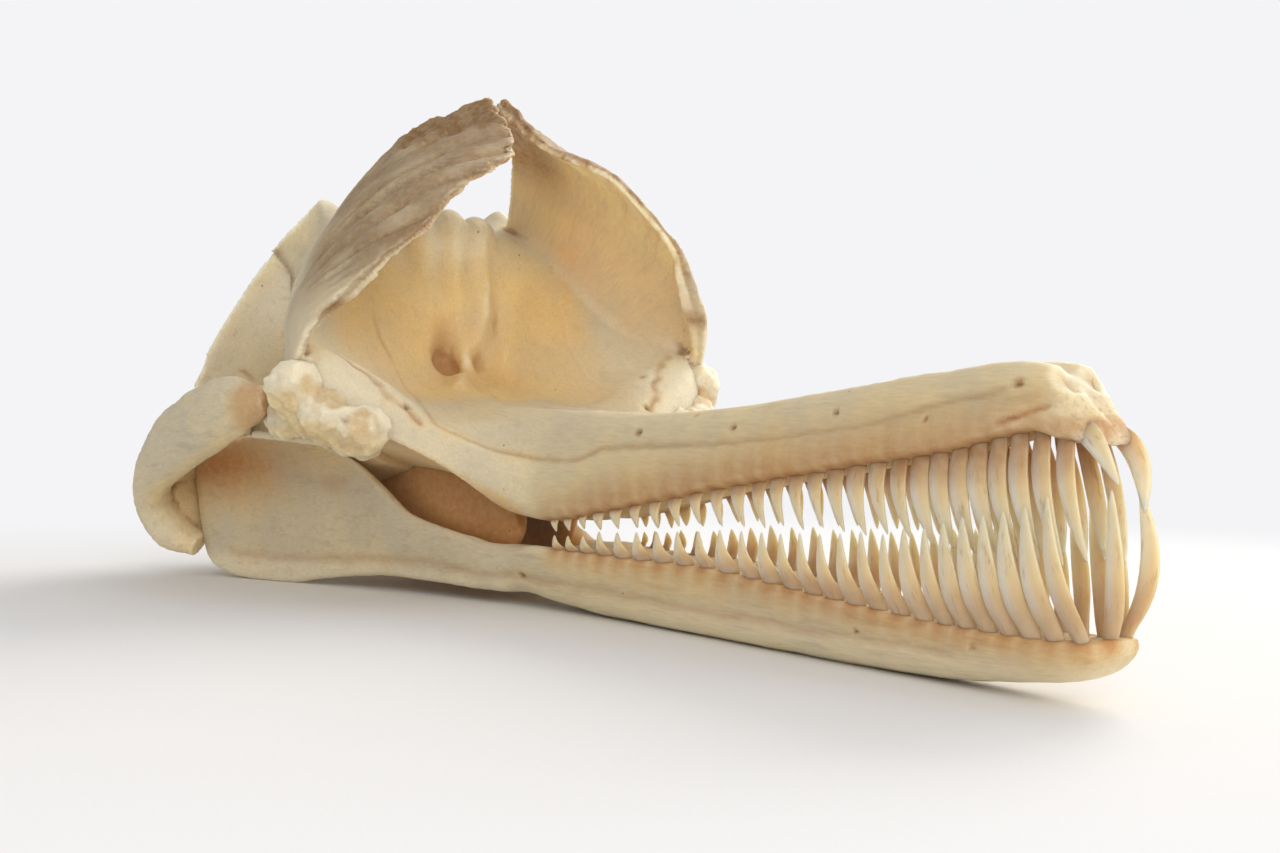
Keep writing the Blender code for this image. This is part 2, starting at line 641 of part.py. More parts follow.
def finish(pieces):
    """Scale to metres, put the origin under the middle of the skull, and smooth the shading."""
    corners = np.array([vert.co for piece in pieces for vert in piece.data.vertices])
    low = corners.min(axis=0)
    high = corners.max(axis=0)
    shift = Vector(((low[0] + high[0]) / -2, (low[1] + high[1]) / -2, -low[2]))
    place = Matrix.Scale(MILLIMETRE, 4) @ Matrix.Translation(shift)
    for piece in pieces:
        piece.data.transform(place)
        piece.data.shade_smooth()
        piece.data.set_sharp_from_angle(angle=math.radians(SHARP_ANGLE))


def main():
    for piece in list(bpy.data.objects):
        bpy.data.objects.remove(piece)
    bone = make_material("bone", BONE, 0.6)
    shaded = make_material("shaded_bone", SHADED_BONE, 0.65)
    tooth = make_material("tooth", TOOTH, 0.35)

    braincase = make_braincase(bone)
    condyles = make_condyles(bone, braincase)
    rostrum = make_upper_jaw(bone, tooth, [braincase])
    jaw_front = make_jaw_front(bone, tooth)
    pieces = [braincase, condyles, rostrum, jaw_front]
    for side, label in ((RIGHT, "right"), (LEFT, "left")):
        crest = make_crest("crest_" + label, side, shaded, [braincase, rostrum])
        brow = make_brow("brow_" + label, side, bone, [braincase, rostrum, crest])
        arch = make_arch("arch_" + label, side, bone, [braincase, rostrum, brow])
        bar = make_bar("cheek_bar_" + label, side, bone, [arch, brow, rostrum])
        wing = make_palate_wing("palate_wing_" + label, side, bone, [braincase, rostrum])
        branch = make_branch("jaw_branch_" + label, side, bone, [arch, braincase])
        pieces += [crest, brow, arch, bar, wing, branch]
    finish(pieces)


if __name__ == "__main__":
    main()
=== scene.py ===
"""River dolphin skull, dressed: dry bone with its seams, grooves, pores and teeth.

The skull's own sizes are in millimetres, x from the occipital condyles to the snout, y to the
animal's left, z up from the floor. A finished piece is brought to metres on the plain solids.
"""
import math
import random

import bpy
import numpy as np
from mathutils import Color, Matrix, Vector, kdtree, noise


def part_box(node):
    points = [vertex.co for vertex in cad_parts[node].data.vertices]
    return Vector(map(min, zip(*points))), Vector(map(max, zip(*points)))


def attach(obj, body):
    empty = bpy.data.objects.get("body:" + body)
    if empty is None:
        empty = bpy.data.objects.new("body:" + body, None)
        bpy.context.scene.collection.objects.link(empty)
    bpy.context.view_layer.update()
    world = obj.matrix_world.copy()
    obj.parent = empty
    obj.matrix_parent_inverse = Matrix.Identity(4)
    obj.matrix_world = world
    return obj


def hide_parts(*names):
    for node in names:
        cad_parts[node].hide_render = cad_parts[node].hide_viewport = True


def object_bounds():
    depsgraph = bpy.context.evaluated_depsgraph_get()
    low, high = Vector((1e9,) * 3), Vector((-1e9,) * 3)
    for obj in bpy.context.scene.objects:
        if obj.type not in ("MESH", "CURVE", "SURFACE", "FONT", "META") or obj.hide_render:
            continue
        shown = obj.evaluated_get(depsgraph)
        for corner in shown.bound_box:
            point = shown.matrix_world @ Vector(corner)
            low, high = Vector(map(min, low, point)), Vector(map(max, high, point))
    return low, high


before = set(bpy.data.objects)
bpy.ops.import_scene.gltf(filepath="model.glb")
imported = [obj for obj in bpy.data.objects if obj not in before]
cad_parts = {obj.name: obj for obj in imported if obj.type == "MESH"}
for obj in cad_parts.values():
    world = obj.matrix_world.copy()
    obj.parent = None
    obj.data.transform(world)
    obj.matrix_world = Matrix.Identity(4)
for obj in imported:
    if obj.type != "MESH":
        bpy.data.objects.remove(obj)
CAD_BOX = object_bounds()

bl_info = {
    "name": "River dolphin skull",
    "version": (1, 0, 0),
    "blender": (4, 5, 0),
    "location": "3D View > Sidebar > Skull",
    "description": "Dresses the plain solids of a river dolphin skull as old dry bone",
    "category": "Object",
}

MILLIMETRE = 0.001
RIGHT = -1
LEFT = 1
SIDES = ((RIGHT, "right"), (LEFT, "left"))
# x of the rear end of the plain braincase, which ties the skull's own sizes to the frame
FIRST_PLACE = 3
SHIFT = Vector((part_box("braincase")[0].x - FIRST_PLACE * MILLIMETRE, 0, 0))
# What a material reads at each point: brown dirt and painted shade, thin warm bone with painted warm glow and
# warm shade, bleached bone with painted light and highlights, and open pores
MARKS = ("stain_and_shade", "amber", "pale", "pore")
COARSE = 1.0

# Upper jaw: lines that run along it, as (x, half width, height)
CREASE = ((112, 0, 66), (122, 0, 60), (138, 0, 56), (152, 0, 54.4), (182, 0, 53.6), (214, 0, 53.6),
          (250, 0, 55), (298, 0, 60), (336, 0, 64), (355, 0, 65.4), (366, 0, 62.6), (375, 0, 55.6))
CROWN = ((112, 6, 66.1), (122, 7, 61.5), (138, 9, 58), (152, 9.5, 56.3), (182, 6, 55.2), (214, 4.6, 55),
         (250, 4, 56.4), (298, 4, 61.5), (336, 4.2, 65.6), (355, 4.6, 67), (366, 4.2, 65), (375, 2, 57))
SHOULDER = ((112, 24, 66.5), (122, 22, 59), (138, 22, 55.5), (152, 20, 53), (170, 14.5, 51.5),
            (182, 11.5, 51.5), (214, 9.5, 51.8), (250, 8.4, 53.4), (298, 7.8, 58), (336, 7.6, 62),
            (355, 7.6, 64), (366, 6.4, 62.4), (375, 3, 56.6))
SUTURE = ((112, 34, 70), (122, 33, 62.5), (130, 32, 59), (138, 31, 57), (152, 29, 51.5), (170, 18, 44),
          (182, 13.6, 42.8), (214, 11, 46), (250, 9.4, 48), (298, 8.6, 52.4), (336, 8, 57),
          (355, 7.9, 59.6), (366, 6.8, 59.6), (375, 3.4, 56))
CHEEK = ((112, 48, 76), (122, 48, 69), (130, 47, 67), (138, 46, 66), (146, 42, 60), (152, 37, 54),
         (160, 30, 48.5), (170, 21.5, 42), (182, 15.6, 38), (214, 13.4, 39), (250, 11.4, 43),
         (298, 10.4, 48.6), (336, 9.5, 53.6), (355, 9.1, 57), (366, 8, 57.6), (375, 4, 55.4))
WING_TOP = ((112, 59, 84), (122, 61, 78), (130, 62, 74), (138, 62, 71), (146, 57, 62), (152, 44, 53),
            (160, 33, 44.5), (170, 23.4, 37), (182, 16.6, 32.5), (214, 13.7, 34), (250, 11.7, 39.6),
            (298, 10.7, 46.4), (336, 9.8, 51.4), (355, 9.3, 55), (366, 8.2, 56), (375, 4.2, 54.8))
WING_TIP = ((112, 60, 76), (122, 65, 67), (130, 67, 64), (138, 66, 60), (146, 60, 53), (152, 47, 47.5),
            (160, 34, 39.5), (170, 22.5, 30.5), (182, 16.2, 26.6), (214, 13.4, 31), (250, 11.4, 37.2),
            (298, 10.4, 44.5), (336, 9.4, 49.8), (355, 8.9, 53.2), (366, 7.8, 54.6), (375, 4, 53.6))
WING_UNDER = ((112, 50, 58), (122, 54, 53), (138, 56, 51.5), (146, 50, 48.5), (152, 40, 44.5), (160, 28, 37),
              (170, 18, 27), (182, 12.6, 25), (214, 10.4, 29.4), (250, 8.8, 35.6), (298, 8, 42.8),
              (336, 7.2, 48.2), (355, 6.7, 52), (366, 5.6, 53.4), (375, 2.6, 53))
PALATE_SIDE = ((112, 32, 43), (138, 28, 39.5), (148, 22, 36), (160, 15, 30), (182, 6.5, 25.4), (214, 5, 30),
               (250, 4.4, 36), (298, 4, 43), (336, 3.6, 48.4), (355, 3.3, 52.2), (366, 2.8, 53.4),
               (375, 1.2, 53))
PALATE = ((112, 0, 33), (138, 0, 33), (160, 0, 27), (182, 0, 24.8), (214, 0, 29.2), (250, 0, 35.2),
          (298, 0, 42.2), (336, 0, 47.8), (355, 0, 51.6), (366, 0, 53), (375, 0, 52.8))
UPPER_LINES = (CREASE, CROWN, SHOULDER, SUTURE, CHEEK, WING_TOP, WING_TIP, WING_UNDER, PALATE_SIDE, PALATE)

# Braincase: lines along it, as (x, half width, height)
ROOF = ((3, 0, 58), (12, 0, 72), (24, 0, 84), (38, 0, 95), (54, 0, 107), (66, 0, 113), (82, 0, 116),
        (94, 0, 113), (100, 0, 94), (106, 0, 74), (111.7, 0, 66))
ROOF_SIDE = ((3, 12, 57), (12, 24, 70), (24, 30, 80), (38, 30, 91), (54, 26, 104), (66, 20, 113),
             (82, 18, 114), (94, 20, 108), (100, 28, 92), (106, 32, 78), (111.7, 34, 70))
RIDGE = ((3, 20, 53), (12, 42, 60), (24, 55, 60), (32, 60, 62), (38, 57.5, 73), (46, 52.5, 86),
         (54, 46, 100), (62, 39, 112), (70, 32, 121), (78, 32, 117), (86, 38, 108), (98, 50, 98),
         (108, 57, 88), (111.7, 59, 84))
BELOW_RIDGE = ((3, 23, 48), (12, 43, 52), (24, 53, 54), (32, 54, 56), (38, 51, 68), (46, 46, 81),
               (54, 40, 94), (62, 35, 104), (70, 33, 110), (78, 35, 106), (86, 40, 98), (98, 50, 88),
               (108, 58, 79), (111.7, 60, 76))
TEMPLE = ((3, 23, 44), (12, 40, 44), (24, 46, 46), (38, 43, 56), (54, 38, 72), (70, 37, 78),
          (86, 39, 74), (98, 42, 68), (111.7, 50, 58))
LOWER_SIDE = ((3, 18, 38), (12, 32, 34), (24, 38, 32), (54, 36, 36), (86, 35, 40), (111.7, 32, 40))
BASE_SIDE = ((3, 10, 36), (12, 20, 29), (24, 24, 26), (54, 24, 27), (86, 22, 30), (111.7, 20, 36.2))
BASE = ((3, 0, 36), (12, 0, 29), (24, 0, 27), (54, 0, 28), (86, 0, 31), (111.7, 0, 30))
BRAINCASE_LINES = (ROOF, ROOF_SIDE, RIDGE, BELOW_RIDGE, TEMPLE, LOWER_SIDE, BASE_SIDE, BASE)

# Rounded lumps on top of the braincase, the fill under them, and the hollows of the nostrils and of the
# spinal opening, as (x, y, z, radius along x, y, z)
CROWN_LUMPS = ((96, 0, 110, 7, 6, 6), (94, 11, 109, 7, 6, 6), (94, -11, 109, 7, 6, 6))
CROWN_FILL = (94.5, 0, 103.5, 7.5, 17, 6.5)
NOSTRILS = ((111, 6, 74, 6, 4, 10), (111, -6, 74, 6, 4, 10))
SPINAL_OPENING = (0, 0, 55, 9, 9, 8)

# Maxillary crests: the root on the skull and the free front edge, from the brow to the crown, as (x, y, z)
CREST_ROOT = ((129, 66, 66), (118, 63, 79), (108, 56.5, 88), (98, 49.5, 97.5), (88, 39, 107), (82, 31, 117))
CREST_EDGE = ((139, 68, 69), (151, 61, 83), (160, 49, 96), (167, 37, 107), (165, 21, 122), (148, 9.5, 133),
              (126, 6.6, 148.5))
CREST_BULGE = ((0, 2), (0.2, 6), (0.5, 9), (0.75, 11), (1, 5))
CREST_THICK_ROOT = ((0, 3), (0.3, 7), (1, 4.5))
CREST_THICK_EDGE = ((0, 3), (0.2, 7), (0.4, 3.4), (0.7, 2.6), (1, 5))
CREST_TURN = 1.1
# Share of the way up the right crest and how far its free edge lies back there, mm
SHORT_EDGE = ((0, 0.5), (0.1, 4), (0.25, 5), (0.42, 5.5), (0.55, 6.5), (0.63, 2.5), (0.7, 0), (1, 0))
HIGHEST = 148.3
# Rows and columns of a crest's sheet, and of the finer net that finds a place on it
CREST_SHEET = (72, 60)
CREST_FINDER = (90, 70)
# Length of a crest from brow to crown, mm, for the grain
CREST_LENGTH = 95

# Zygomatic arches: centre line from the front tip to the hook behind the jaw joint,
# as (x, y, z, half height, half width)
ARCH = ((121, 70, 57.5, 3.4, 2.6), (118, 71, 57, 5.2, 3.6), (113, 72.5, 56, 6.8, 4.4),
        (106, 73.5, 55.5, 9, 5.5), (92, 75, 52.5, 10.5, 6.5), (76, 75.5, 48.5, 11, 6.5),
        (60, 75.5, 44, 11, 6.5), (46, 75.5, 38, 9.5, 6.2), (36, 75, 31, 8, 6),
        (31, 72.5, 22.5, 6.5, 6), (32, 66.5, 14, 5.5, 6.5), (38, 60, 10, 3.6, 5))
# Flat root of the arch on the braincase, as (x, y, z, half height, half length)
ARCH_ROOT = ((33, 44, 46, 12, 10), (33, 58, 45, 13, 9), (36, 72, 40, 11, 8))

# Plate behind the jaw joint that fills the bend of the arch, as (x, y, z, radius along x, y, z)
JOINT_PLATE = (29, 62, 27, 5.5, 13, 16)

# Cheek bars, thin rods under the eye sockets
BAR_FRONT = (149, 57, 45.5)
BAR_REAR = (109, 69, 47.5)
BAR_RADIUS = 1.261

# Knobbly brow processes in front of the eye: (x, y, z, radius along x, y, z)
BROW_KNOBS = ((137, 68, 61, 8, 6.5, 7.5), (130, 66, 58, 9, 6, 5), (144, 62, 54, 7.5, 6.5, 6.5),
              (150, 54, 49, 8, 7, 6.5), (140, 60, 52, 9, 8, 6), (125, 66, 53, 11, 4, 5))
LEFT_BROW_SETBACK = 3

# Occipital condyles and the bridge between them, as (x, y, z, radius along x, y, z)
CONDYLES = ((3, 11, 46, 6, 6.5, 11), (3, -11, 46, 6, 6.5, 11))
CONDYLE_BRIDGE = (4, 0, 39, 5, 10, 4)

# Palate wings behind the upper jaw, big enough to fill the dark space above the jaw branches with painted
# shade: centre line, as (x, y, z, half height, half width)
PALATE_WING = ((66, 17, 24, 4, 7), (82, 15, 30, 12, 9), (100, 13.5, 31, 17, 9), (114, 13, 30, 17.5, 8),
               (128, 12.5, 27.5, 15, 6.5), (142, 10.5, 25.5, 13, 4.5), (152, 9, 24.5, 11, 3.5),
               (158, 8, 26, 6, 2.5))

# Lower jaw: the front, where both halves are one, as (x, half width, height)
GUM = ((160, 18, 18), (182, 15.8, 17.8), (214, 13.2, 17.8), (250, 11.4, 18.2), (284, 10.6, 16.4),
       (312, 10, 14.4), (340, 9.4, 13.2), (362, 8.6, 13), (374, 7, 14), (379, 3, 15.4))
GUM_INNER = ((160, 9, 17), (182, 8, 17), (250, 6, 17.6), (312, 5.2, 13.8), (362, 4.4, 12.6), (379, 1.4, 15))
GUM_MIDDLE = ((160, 0, 15.5), (182, 0, 16), (250, 0, 16.8), (312, 0, 13), (362, 0, 12), (379, 0, 14.8))
JAW_SIDE = ((160, 18.6, 13), (182, 16.4, 13), (214, 14, 13), (250, 12.2, 12.6), (312, 10.8, 10),
            (362, 9.4, 9.6), (374, 7.6, 11.4), (379, 3.4, 13.6))
JAW_GROOVE = ((160, 17, 8.5), (182, 14.6, 8), (214, 12, 7.6), (250, 10.6, 7), (312, 9.6, 6), (362, 8, 7),
              (374, 6.4, 9.6), (379, 2.8, 12.6))
JAW_LOW = ((160, 13, 5), (182, 10.6, 3.4), (214, 8.4, 2), (250, 7.4, 1.6), (312, 6.6, 1.8), (342, 6, 2.8),
           (362, 5.2, 4.8), (374, 4, 7.6), (379, 1.6, 11.8))
KEEL = ((160, 4, 3.6), (182, 3.6, 1.4), (198, 3.4, 0), (300, 3, 0), (330, 2.8, 0.8), (350, 2.4, 2.4),
        (366, 2, 4.6), (374, 1.6, 7.2), (379, 0.8, 11))
JAW_LINES = (GUM_MIDDLE, GUM_INNER, GUM, JAW_SIDE, JAW_GROOVE, JAW_LOW, KEEL)

# Lower jaw branches: (x, half width at the outer face, top height, bottom height, thickness)
BRANCH = ((35.5, 58, 33, 11, 3), (38, 58.5, 38, 7, 7), (42, 58, 40.5, 4, 8.5), (46, 56.2, 42, 2.2, 8),
          (50, 54, 43.4, 1, 6), (56, 50.5, 45.2, 0.2, 4.6), (62, 48, 46.2, 0, 4), (70, 44.8, 46.8, 0, 3.8),
          (84, 39.2, 45.4, 2.2, 3.8), (101, 32.6, 39.6, 4.4, 4), (111, 29.4, 32.8, 5, 4.4),
          (116, 28, 28.8, 5, 4.6), (121, 26.5, 25, 4.9, 5), (134, 23.3, 21.2, 4.7, 6),
          (146, 20.7, 19, 4.4, 7.4), (159.7, 18.4, 17.8, 3.6, 9.6))
BRANCH_LEAN = 0.12
BRANCH_BOW = 0.5

# Teeth: their places by number, and by place their reach as a share of the gape and their width
FIRST_TOOTH = 186.6
TOOTH_PITCH = ((0, 6), (2, 7.4), (5, 8.6), (9, 8.8), (11, 7.1), (17, 7.1), (19, 5.9), (25, 5.6), (29, 4.6))
TOOTH_LEAN = 0.24
# Inset from the side of the jaw, spread outwards, share of a step further forward, number on a side
UPPER_TOOTH = (2.8, 0.0, 0.0, 28)
LOWER_TOOTH = (1.0, 0.07, 0.22, 27)
TOOTH_REACH = ((187, 0.46), (250, 0.48), (300, 0.5), (318, 0.52), (335, 0.57), (350, 0.61), (366, 0.66),
               (380, 0.7))
TOOTH_WIDTH = ((187, 4.2), (215, 5.8), (260, 6), (300, 5.8), (330, 5.4), (366, 5), (380, 4.2))
TOOTH_SCATTER = 0.5
TOOTH_VARIATION = 0.05
TOOTH_CROWDING = 0.93
TOOTH_BOW = 0.05
TIP_MARGIN = 2
TOOTH_SEED = 7

# Seams, grooves and holes of the face and upper jaw, right side, as (x, y, z)
LONG_SEAM = ((103, -29, 88), (105.6, -28.5, 79), (112.2, -26.2, 67.2), (124.2, -26.1, 59.4), (140, -31, 56),
             (154.6, -34, 51.9), (162.4, -26.8, 46.8), (170.7, -18.4, 43.3), (182, -14.1, 41.9),
             (194.8, -13.1, 42.4), (209.4, -11.2, 45.7), (224.3, -10.6, 46.4), (244.2, -9.7, 47.4),
             (270.1, -9.2, 49.2), (304.5, -8.7, 52.7), (333.9, -7.9, 57.9), (352, -7.6, 61))
SHIELD_EDGE = ((95, -15, 112), (101, -17, 100), (107, -15, 88), (112, -12, 76), (118, -11, 65))
SHIELD_RIDGE = ((98, 10, 98), (101, 9.3, 89.2), (104.2, 6.3, 79.6), (109.8, -0.8, 68.5), (121, -9, 61.5))
SHIELD_GROOVE = ((102, 14.5, 88), (104.4, 13.3, 79.7), (110, 9, 70), (116.2, 4.9, 64))
BOWL_FOLD = ((99, 29, 93), (106, 24, 79), (110.2, 18.8, 70.3), (120, 11, 64),
             (128.3, 5.3, 59.5))
NOSTRIL_GROOVE = ((97, -4, 108), (102, -4.5, 98), (107, -5, 86), (111, -5.5, 74))
SLITS = (((120, 1, 63), (128, 0.6, 59)), ((124, 6.4, 61), (134, 6, 57.6)))
SNOUT_PIT = (368.5, -3.6, 63.6)
SNOUT_SLOT = ((352, -9.2, 54.6), (358, -8.8, 56), (364, -7.6, 58))
SIDE_HOLES = ((356, -7.5, 62.4, 0.9), (262, -8.6, 52, 0.7), (300, -8.2, 56, 0.6), (222, -9.8, 50, 0.8),
              (330, -8.4, 55, 0.6), (244, -7, 55, 0.5), (150, -40, 56, 1.0), (139, -45, 66, 0.9))
BROW_SEAM = ((128, -64, 70), (134, -58, 70.5), (141, -50, 66), (148, -44, 58), (154, -38, 52))
VAULT_LINE = ((6, 0, 66), (20, 0, 80), (36, 0, 93), (52, 0, 105))
SKULL_CRACK = ((55, -39, 79), (54, -40, 74), (53, -40, 68), (52, -40.5, 62), (50, -42, 56))
TEMPLE_SEAM = ((40, -46, 66), (48, -42, 58), (60, -38, 52), (74, -36, 50), (88, -36, 54), (98, -38, 62))
ARCH_SEAM = ((112, -77.5, 66), (110.5, -79.5, 60), (112, -79, 54), (108, -78, 47))
JAW_SEAM = ((50, -54, 9), (60, -50, 7.5), (76, -43.5, 8), (99.1, -33.5, 9), (127.4, -24.8, 10),
            (143.6, -21.3, 9.1), (155, -19.2, 8), (172.8, -15.9, 8.8), (204.5, -13.1, 8.4),
            (230.7, -11.4, 7.5), (251.7, -10.6, 7.1), (275.8, -10.4, 7.2), (301.3, -10.1, 7.3),
            (340, -9.4, 8))
JAW_HOLES = ((172, -16, 9, 1.0), (214, -13.6, 8.6, 0.8), (262, -11.4, 7.6, 0.7), (310, -10.6, 8.6, 0.6),
             (346, -9.6, 9.6, 0.7), (366, -8, 11, 0.7))

# Soft round patches, as (mark, strength, centre, radii)
# Bowl: painted warm shade low in the bowl and by the right nostril, painted warm glow through its thin bone,
# and a painted highlight on the crown lumps
BOWL_PATCHES = (("stain_and_shade", 0.34, (116, 0, 64), (14, 26, 11)), ("stain_and_shade", 0.5, (106, -6, 76), (9, 5, 11)),
                ("amber", 0.8, (112, 0, 68), (10, 22, 10)), ("amber", 0.8, (98, 20, 92), (14, 5, 22)),
                ("pale", 1, (98, -2, 107), (12, 15, 8)))
# Painted shade in the nostrils, much darker on the right one, with painted warm glow around both, and paler
# patches beside the brows
NARES_PATCHES = (("stain_and_shade", 0.29, (107, 5, 69.5), (8, 3.2, 4.6)),
                 ("stain_and_shade", 0.95, (107, -5, 69.5), (8, 3.2, 4.6)),
                 ("amber", 1, (107, 5, 72), (10, 6, 9)), ("amber", 1, (107, -5, 72), (10, 6, 9)),
                 ("pale", 0.8, (130, 46, 66), (22, 16, 15)), ("pale", 0.8, (130, -46, 66), (22, 16, 15)))
# A brown smear on each branch, and painted warm shade under each arch on the rear of the branch
BRANCH_PATCHES = (("stain_and_shade", 0.4, (94, 38, 32), (8, 6, 3.5)), ("stain_and_shade", 0.4, (94, -38, 32), (8, 6, 3.5)),
                  ("amber", 1, (50, 56, 36), (38, 16, 15)), ("amber", 1, (50, -56, 36), (38, 16, 15)),
                  ("stain_and_shade", 0.85, (50, 57, 37), (42, 17, 11)), ("stain_and_shade", 0.85, (50, -57, 37), (42, 17, 11)))
# Soft folds on top of the bowl, as (y, height)
VERTEX_FOLDS = ((-10, 2.2), (-1, 2.8), (9, 2.2))

# Share of the height, width and thickness of a tooth from below its socket to near its tip
TOOTH_SHAPE = ((-0.16, 0.86, 0.9), (0.0, 0.98, 1.0), (0.12, 1.0, 0.98), (0.26, 0.92, 0.92),
               (0.42, 0.77, 0.82), (0.57, 0.6, 0.7), (0.71, 0.43, 0.58), (0.83, 0.28, 0.44),
               (0.93, 0.13, 0.28))


def linear(colour):
    """An sRGB hex colour as linear numbers."""
    parts = [int(colour[i:i + 2], 16) / 255 for i in (1, 3, 5)]
    return tuple(p / 12.92 if p <= 0.04045 else ((p + 0.055) / 1.055) ** 2.4 for p in parts)


# Tables and curves

def along(line, places):
    """Values of a line at places, smooth between its given stations without overshoot."""
    table = np.array(line, dtype=float)
    xs = table[:, 0]
    values = table[:, 1:]
    places = np.clip(np.atleast_1d(places), xs[0], xs[-1])
    slopes = np.diff(values, axis=0) / np.diff(xs)[:, None]
    before = slopes[:-1]
    after = slopes[1:]
    same = before * after > 0
    middle = np.where(same, 2 * before * after / np.where(same, before + after, 1), 0)
    tangents = np.concatenate((slopes[:1], middle, slopes[-1:]))
    i = np.clip(np.searchsorted(xs, places, side="right") - 1, 0, len(xs) - 2)
    width = (xs[i + 1] - xs[i])[:, None]
    t = (places - xs[i])[:, None] / width
    start = (1 + 2 * t) * (1 - t) ** 2 * values[i] + t * (1 - t) ** 2 * width * tangents[i]
    end = t * t * (3 - 2 * t) * values[i + 1] + t * t * (t - 1) * width * tangents[i + 1]
    return start + end


def curve_at(points, t):
    """Points on the smooth curve through the given points, t from 0 to 1, spaced by length."""
    table = np.array(points, dtype=float)
    lengths = np.linalg.norm(np.diff(table[:, :3], axis=0), axis=1)
    places = np.concatenate(([0.0], np.cumsum(lengths)))
    return along(np.column_stack((places / places[-1], table)), t)


def rounded(outline, steps):
    """A closed outline made finer by a smooth curve through its points."""
    before = np.roll(outline, 1, axis=-2)
    after = np.roll(outline, -1, axis=-2)
    later = np.roll(outline, -2, axis=-2)
    gap_a = np.sqrt(np.linalg.norm(outline - before, axis=-1, keepdims=True)) + 1e-6
    gap_b = np.sqrt(np.linalg.norm(after - outline, axis=-1, keepdims=True)) + 1e-6
    gap_c = np.sqrt(np.linalg.norm(later - after, axis=-1, keepdims=True)) + 1e-6
    lead = (after - outline) / gap_b - (after - before) / (gap_a + gap_b) + (outline - before) / gap_a
    trail = (later - after) / gap_c - (later - outline) / (gap_b + gap_c) + (after - outline) / gap_b
    rows = []
    for step in range(steps):
        t = step / steps
        rows.append((2 * t ** 3 - 3 * t ** 2 + 1) * outline + (t ** 3 - 2 * t ** 2 + t) * lead * gap_b
                    + (3 * t ** 2 - 2 * t ** 3) * after + (t ** 3 - t ** 2) * trail * gap_b)
    fine = np.stack(rows, axis=-2)
    return fine.reshape(*outline.shape[:-2], -1, outline.shape[-1])


def sections(lines, places, steps=4):
    """Closed rings across the skull's middle from lines of (half width, height)."""
    places = np.asarray(places, dtype=float)
    halves = np.stack([along(line, places) for line in lines], axis=1)
    back = halves[:, ::-1]
    back = back[:, back[:, :, 0].max(axis=0) > 0]
    outline = rounded(np.concatenate((halves * (-1, 1), back), axis=1), steps)
    across = np.broadcast_to(places[:, None, None], (*outline.shape[:2], 1))
    return np.concatenate((across, outline), axis=2)


def tube(points, steps, sides):
    """Elliptical rings along a smooth centre line of (x, y, z, half height, half width)."""
    spots = curve_at(points, np.linspace(0, 1, steps + 1))
    ways = np.gradient(spots[:, :3], axis=0)
    rings = []
    for spot, way in zip(spots, ways):
        forward = Vector(way).normalized()
        side = (Vector((0, 1, 0)) - forward * forward.y).normalized()
        up = forward.cross(side)
        angles = [2 * math.pi * i / sides for i in range(sides)]
        rings.append([Vector(spot[:3]) + up * (math.cos(a) * spot[3]) + side * (math.sin(a) * spot[4])
                      for a in angles])
    return np.array(rings)


def sided(points, side):
    """Points given for the left, turned to the wanted side."""
    return [(point[0], point[1] * side, *point[2:]) for point in points]


def crest_net(side, rows, columns):
    """Outer face of a crest over a net of s, from brow to crown, and t, from root to free edge."""
    s = np.linspace(0, 1, rows + 1)
    t = np.linspace(0, 1, columns + 1)[None, :, None]
    root = curve_at(CREST_ROOT, s)[:, None]
    edge = curve_at(CREST_EDGE, s)[:, None]
    outward = np.stack((0 * s, np.cos(s * CREST_TURN), np.sin(s * CREST_TURN)), axis=1)[:, None]
    place = root * (1 - t) + edge * t + outward * along(CREST_BULGE, s)[:, None] * 4 * t * (1 - t)
    normal = np.cross(np.gradient(place, axis=0), np.gradient(place, axis=1))
    normal /= np.linalg.norm(normal, axis=2, keepdims=True)
    normal[(normal[:, :, 1] + normal[:, :, 2]) < 0] *= -1
    thick = along(CREST_THICK_ROOT, s)[:, None] * (1 - t) + along(CREST_THICK_EDGE, s)[:, None] * t
    turn = np.array((1, side, 1))
    return place * turn, normal * turn, thick[:, :, 0]


# Closed forms and pieces

def form(name, points, faces):
    """A form from its points and faces."""
    mesh = bpy.data.meshes.new(name)
    mesh.from_pydata(np.asarray(points).reshape(-1, 3).tolist(), [], faces)
    piece = bpy.data.objects.new(name, mesh)
    bpy.context.scene.collection.objects.link(piece)
    return piece


def skinned(name, rings):
    """A closed form skinned over a row of rings, its ends closed flat."""
    rows, count = rings.shape[:2]
    faces = [tuple(range(count)), tuple(range((rows - 1) * count, rows * count))]
    for row in range(rows - 1):
        for i in range(count):
            j = (i + 1) % count
            faces.append((row * count + i, row * count + j, (row + 1) * count + j, (row + 1) * count + i))
    return form(name, rings, faces)


def crest_form(side):
    """A crest as a closed curved sheet."""
    rows, columns = CREST_SHEET
    place, normal, thick = crest_net(side, rows, columns)
    inner = place - normal * thick[:, :, None]
    across = columns + 1
    total = (rows + 1) * across
    faces = []
    for row in range(rows):
        for column in range(columns):
            a = row * across + column
            quad = (a, a + 1, a + across + 1, a + across)
            faces.append(quad)
            faces.append(tuple(total + corner for corner in reversed(quad)))
    rim = [row * across for row in range(rows)] + [rows * across + column for column in range(columns)]
    rim += [row * across + columns for row in range(rows, 0, -1)] + list(range(columns, 0, -1))
    for a, b in zip(rim, rim[1:] + rim[:1]):
        faces.append((a, b, total + b, total + a))
    return form("crest", np.concatenate((place.reshape(-1, 3), inner.reshape(-1, 3))), faces)


def choose(*pieces):
    """Select these pieces and nothing else, the first of them active."""
    bpy.ops.object.select_all(action="DESELECT")
    for piece in pieces:
        piece.select_set(True)
    if pieces:
        bpy.context.view_layer.objects.active = pieces[0]


